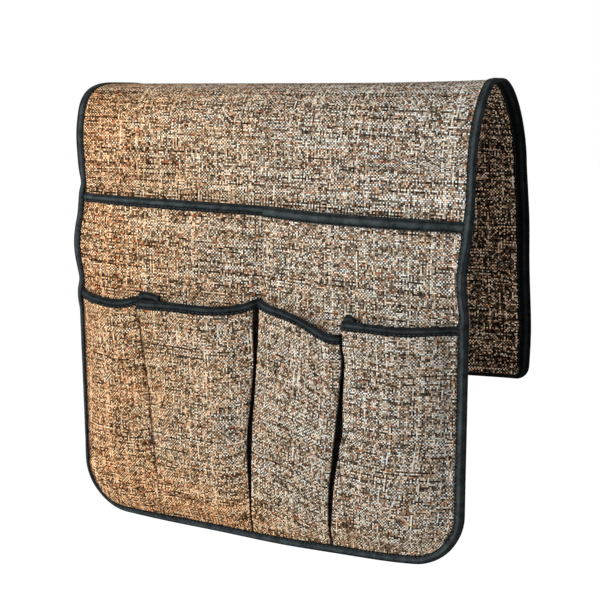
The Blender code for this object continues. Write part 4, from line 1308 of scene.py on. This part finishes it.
def main():
    leaves = (FRONT, BACK)
    sheets = [sheet_cloth(leaf) for leaf in leaves]
    for leaf, (sheet, flat), slot, nodes in zip(leaves, sheets, SHEET_SLOTS, SHEET_NODES):
        corners_cut = (1.0 - math.pi / 4) * 2.0 * leaf.radius ** 2
        flat[0] * flat[1] - corners_cut
        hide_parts(*nodes)

    edges = [binding(leaf) for leaf in leaves]
    for (edge, grid, _), (sheet, _), nodes in zip(edges, sheets, EDGE_NODES):
        declare(grid, nodes)
    lift = TAPE_THICKNESS / 2
    for leaf, (_, grid, out) in zip(leaves, edges):
        rows = [(grid[:, line] + out[:, line] * lift, out[:, line]) for line in SEWN_LINES]
        across_joint(stitching("stitching_" + leaf.name.replace("leaf", "edge"), rows))

    rows = []

    def cloth_on_front(cloth, grid, nodes):
        declare(grid, nodes)
        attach(cloth, FRONT.name)

    def tape_on_front(tape, node):
        """Hides the model's node of a mouth tape and hangs the tape from the front leaf. Gives the line that
        its stitches follow.
        """
        piece, grid, out = tape
        declare(grid, (node,))
        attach(piece, FRONT.name)
        return grid[1] * 0.45 + grid[0] * 0.55 + out[1] * lift, out[1]

    cloth, grid, tapes = upper_pockets()
    cloth_on_front(cloth, grid, ("upper_pocket_left", "upper_pocket_right"))
    for tape, label in zip(tapes, ("left", "right")):
        rows.append(tape_on_front(tape, "upper_tape_" + label))
    for pocket in LOWER_POCKETS:
        (cloth, grid), tape = lower_pocket(pocket)
        cloth_on_front(cloth, grid, ("lower_pocket_" + str(pocket.number),))
        rows.append(tape_on_front(tape, "lower_tape_" + str(pocket.number)))
    for number in PLEAT_FOLD_SHARES:
        (cloth, grid), tape = pleat(number)
        cloth_on_front(cloth, grid, ("lower_pocket_" + str(number) + "_pleat",))
        tape_on_front(tape, "lower_tape_" + str(number) + "_pleat")
    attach(stitching("stitching_mouths", rows), FRONT.name)


# Camera, light and floor.

CAMERA_PLACE = (0.5766, -1.2318, -0.0056)
CAMERA_TURN = (math.radians(90.0 - 8.43), 0.0, math.radians(25.0))
CAMERA_LENS = 84.8
CAMERA_SENSOR = 36.0
FLOOR_DROP = 0.75
FLOOR_HALF = 12.0
FLOOR_GLOW = 1.12
FLOOR_GLOW_SHARE = 0.90
WORLD_STRENGTH = 0.24


def camera():
    data = bpy.data.cameras.new("camera")
    data.lens = CAMERA_LENS
    data.sensor_width = CAMERA_SENSOR
    made = link("camera", data)
    made.location = CAMERA_PLACE
    made.rotation_euler = CAMERA_TURN
    bpy.context.scene.camera = made


def lamp(name, place, target, size, power, colour):
    data = bpy.data.lights.new(name, "AREA")
    data.shape = "DISK"
    data.size = size
    data.energy = power
    data.color = colour
    made = link(name, data)
    made.location = place
    made.rotation_euler = (Vector(target) - Vector(place)).to_track_quat("-Z", "Y").to_euler()


def seen_share(g):
    """1 for what the camera sees, straight or in a reflection or through glass."""
    path = g.tree.nodes.new("ShaderNodeLightPath").outputs
    share = Value(g, path["Is Camera Ray"])
    for other in ("Is Glossy Ray", "Is Transmission Ray"):
        share = g.math("MAXIMUM", share, Value(g, path[other]))
    return share


def world():
    g = Graph(bpy.data.worlds.new("studio"), "Background")
    g.surface({
        "Color": (1.0, 1.0, 1.0, 1.0),
        "Strength": g.remap(seen_share(g), 0.0, 1.0, WORLD_STRENGTH, 1.0),
    })
    bpy.context.scene.world = g.data


def floor():
    g = Graph(bpy.data.materials.new("pale_floor"))
    g.surface({"Base Color": (0.86, 0.86, 0.86, 1.0), "Roughness": 0.9, "Specular IOR Level": 0.0})
    glow = g.node("ShaderNodeEmission", {"Strength": FLOOR_GLOW})
    share = seen_share(g) * FLOOR_GLOW_SHARE
    mixed = g.node("ShaderNodeMixShader", {0: share, 1: Value(g, g.shader.outputs[0]), 2: glow})
    g.put(g.tree.nodes["Material Output"].inputs["Surface"], mixed)
    mesh = bpy.data.meshes.new("floor")
    corners = [(x * FLOOR_HALF, y * FLOOR_HALF, -FLOOR_DROP) for x, y in ((-1, -1), (1, -1), (1, 1), (-1, 1))]
    mesh.from_pydata(corners, [], [(0, 1, 2, 3)])
    mesh.materials.append(g.data)
    link("floor", mesh)


camera()
main()
floor()
world()
lamp("key", (-1.5, -2.1, 0.9), (0.0, -0.05, -0.22), 0.9, 62.0, (1.0, 0.985, 0.96))
lamp("fill", (0.1, -2.4, -0.1), (0.0, 0.0, -0.2), 1.0, 9.0, (0.96, 0.98, 1.0))
bpy.context.scene.view_settings.view_transform = "Standard"
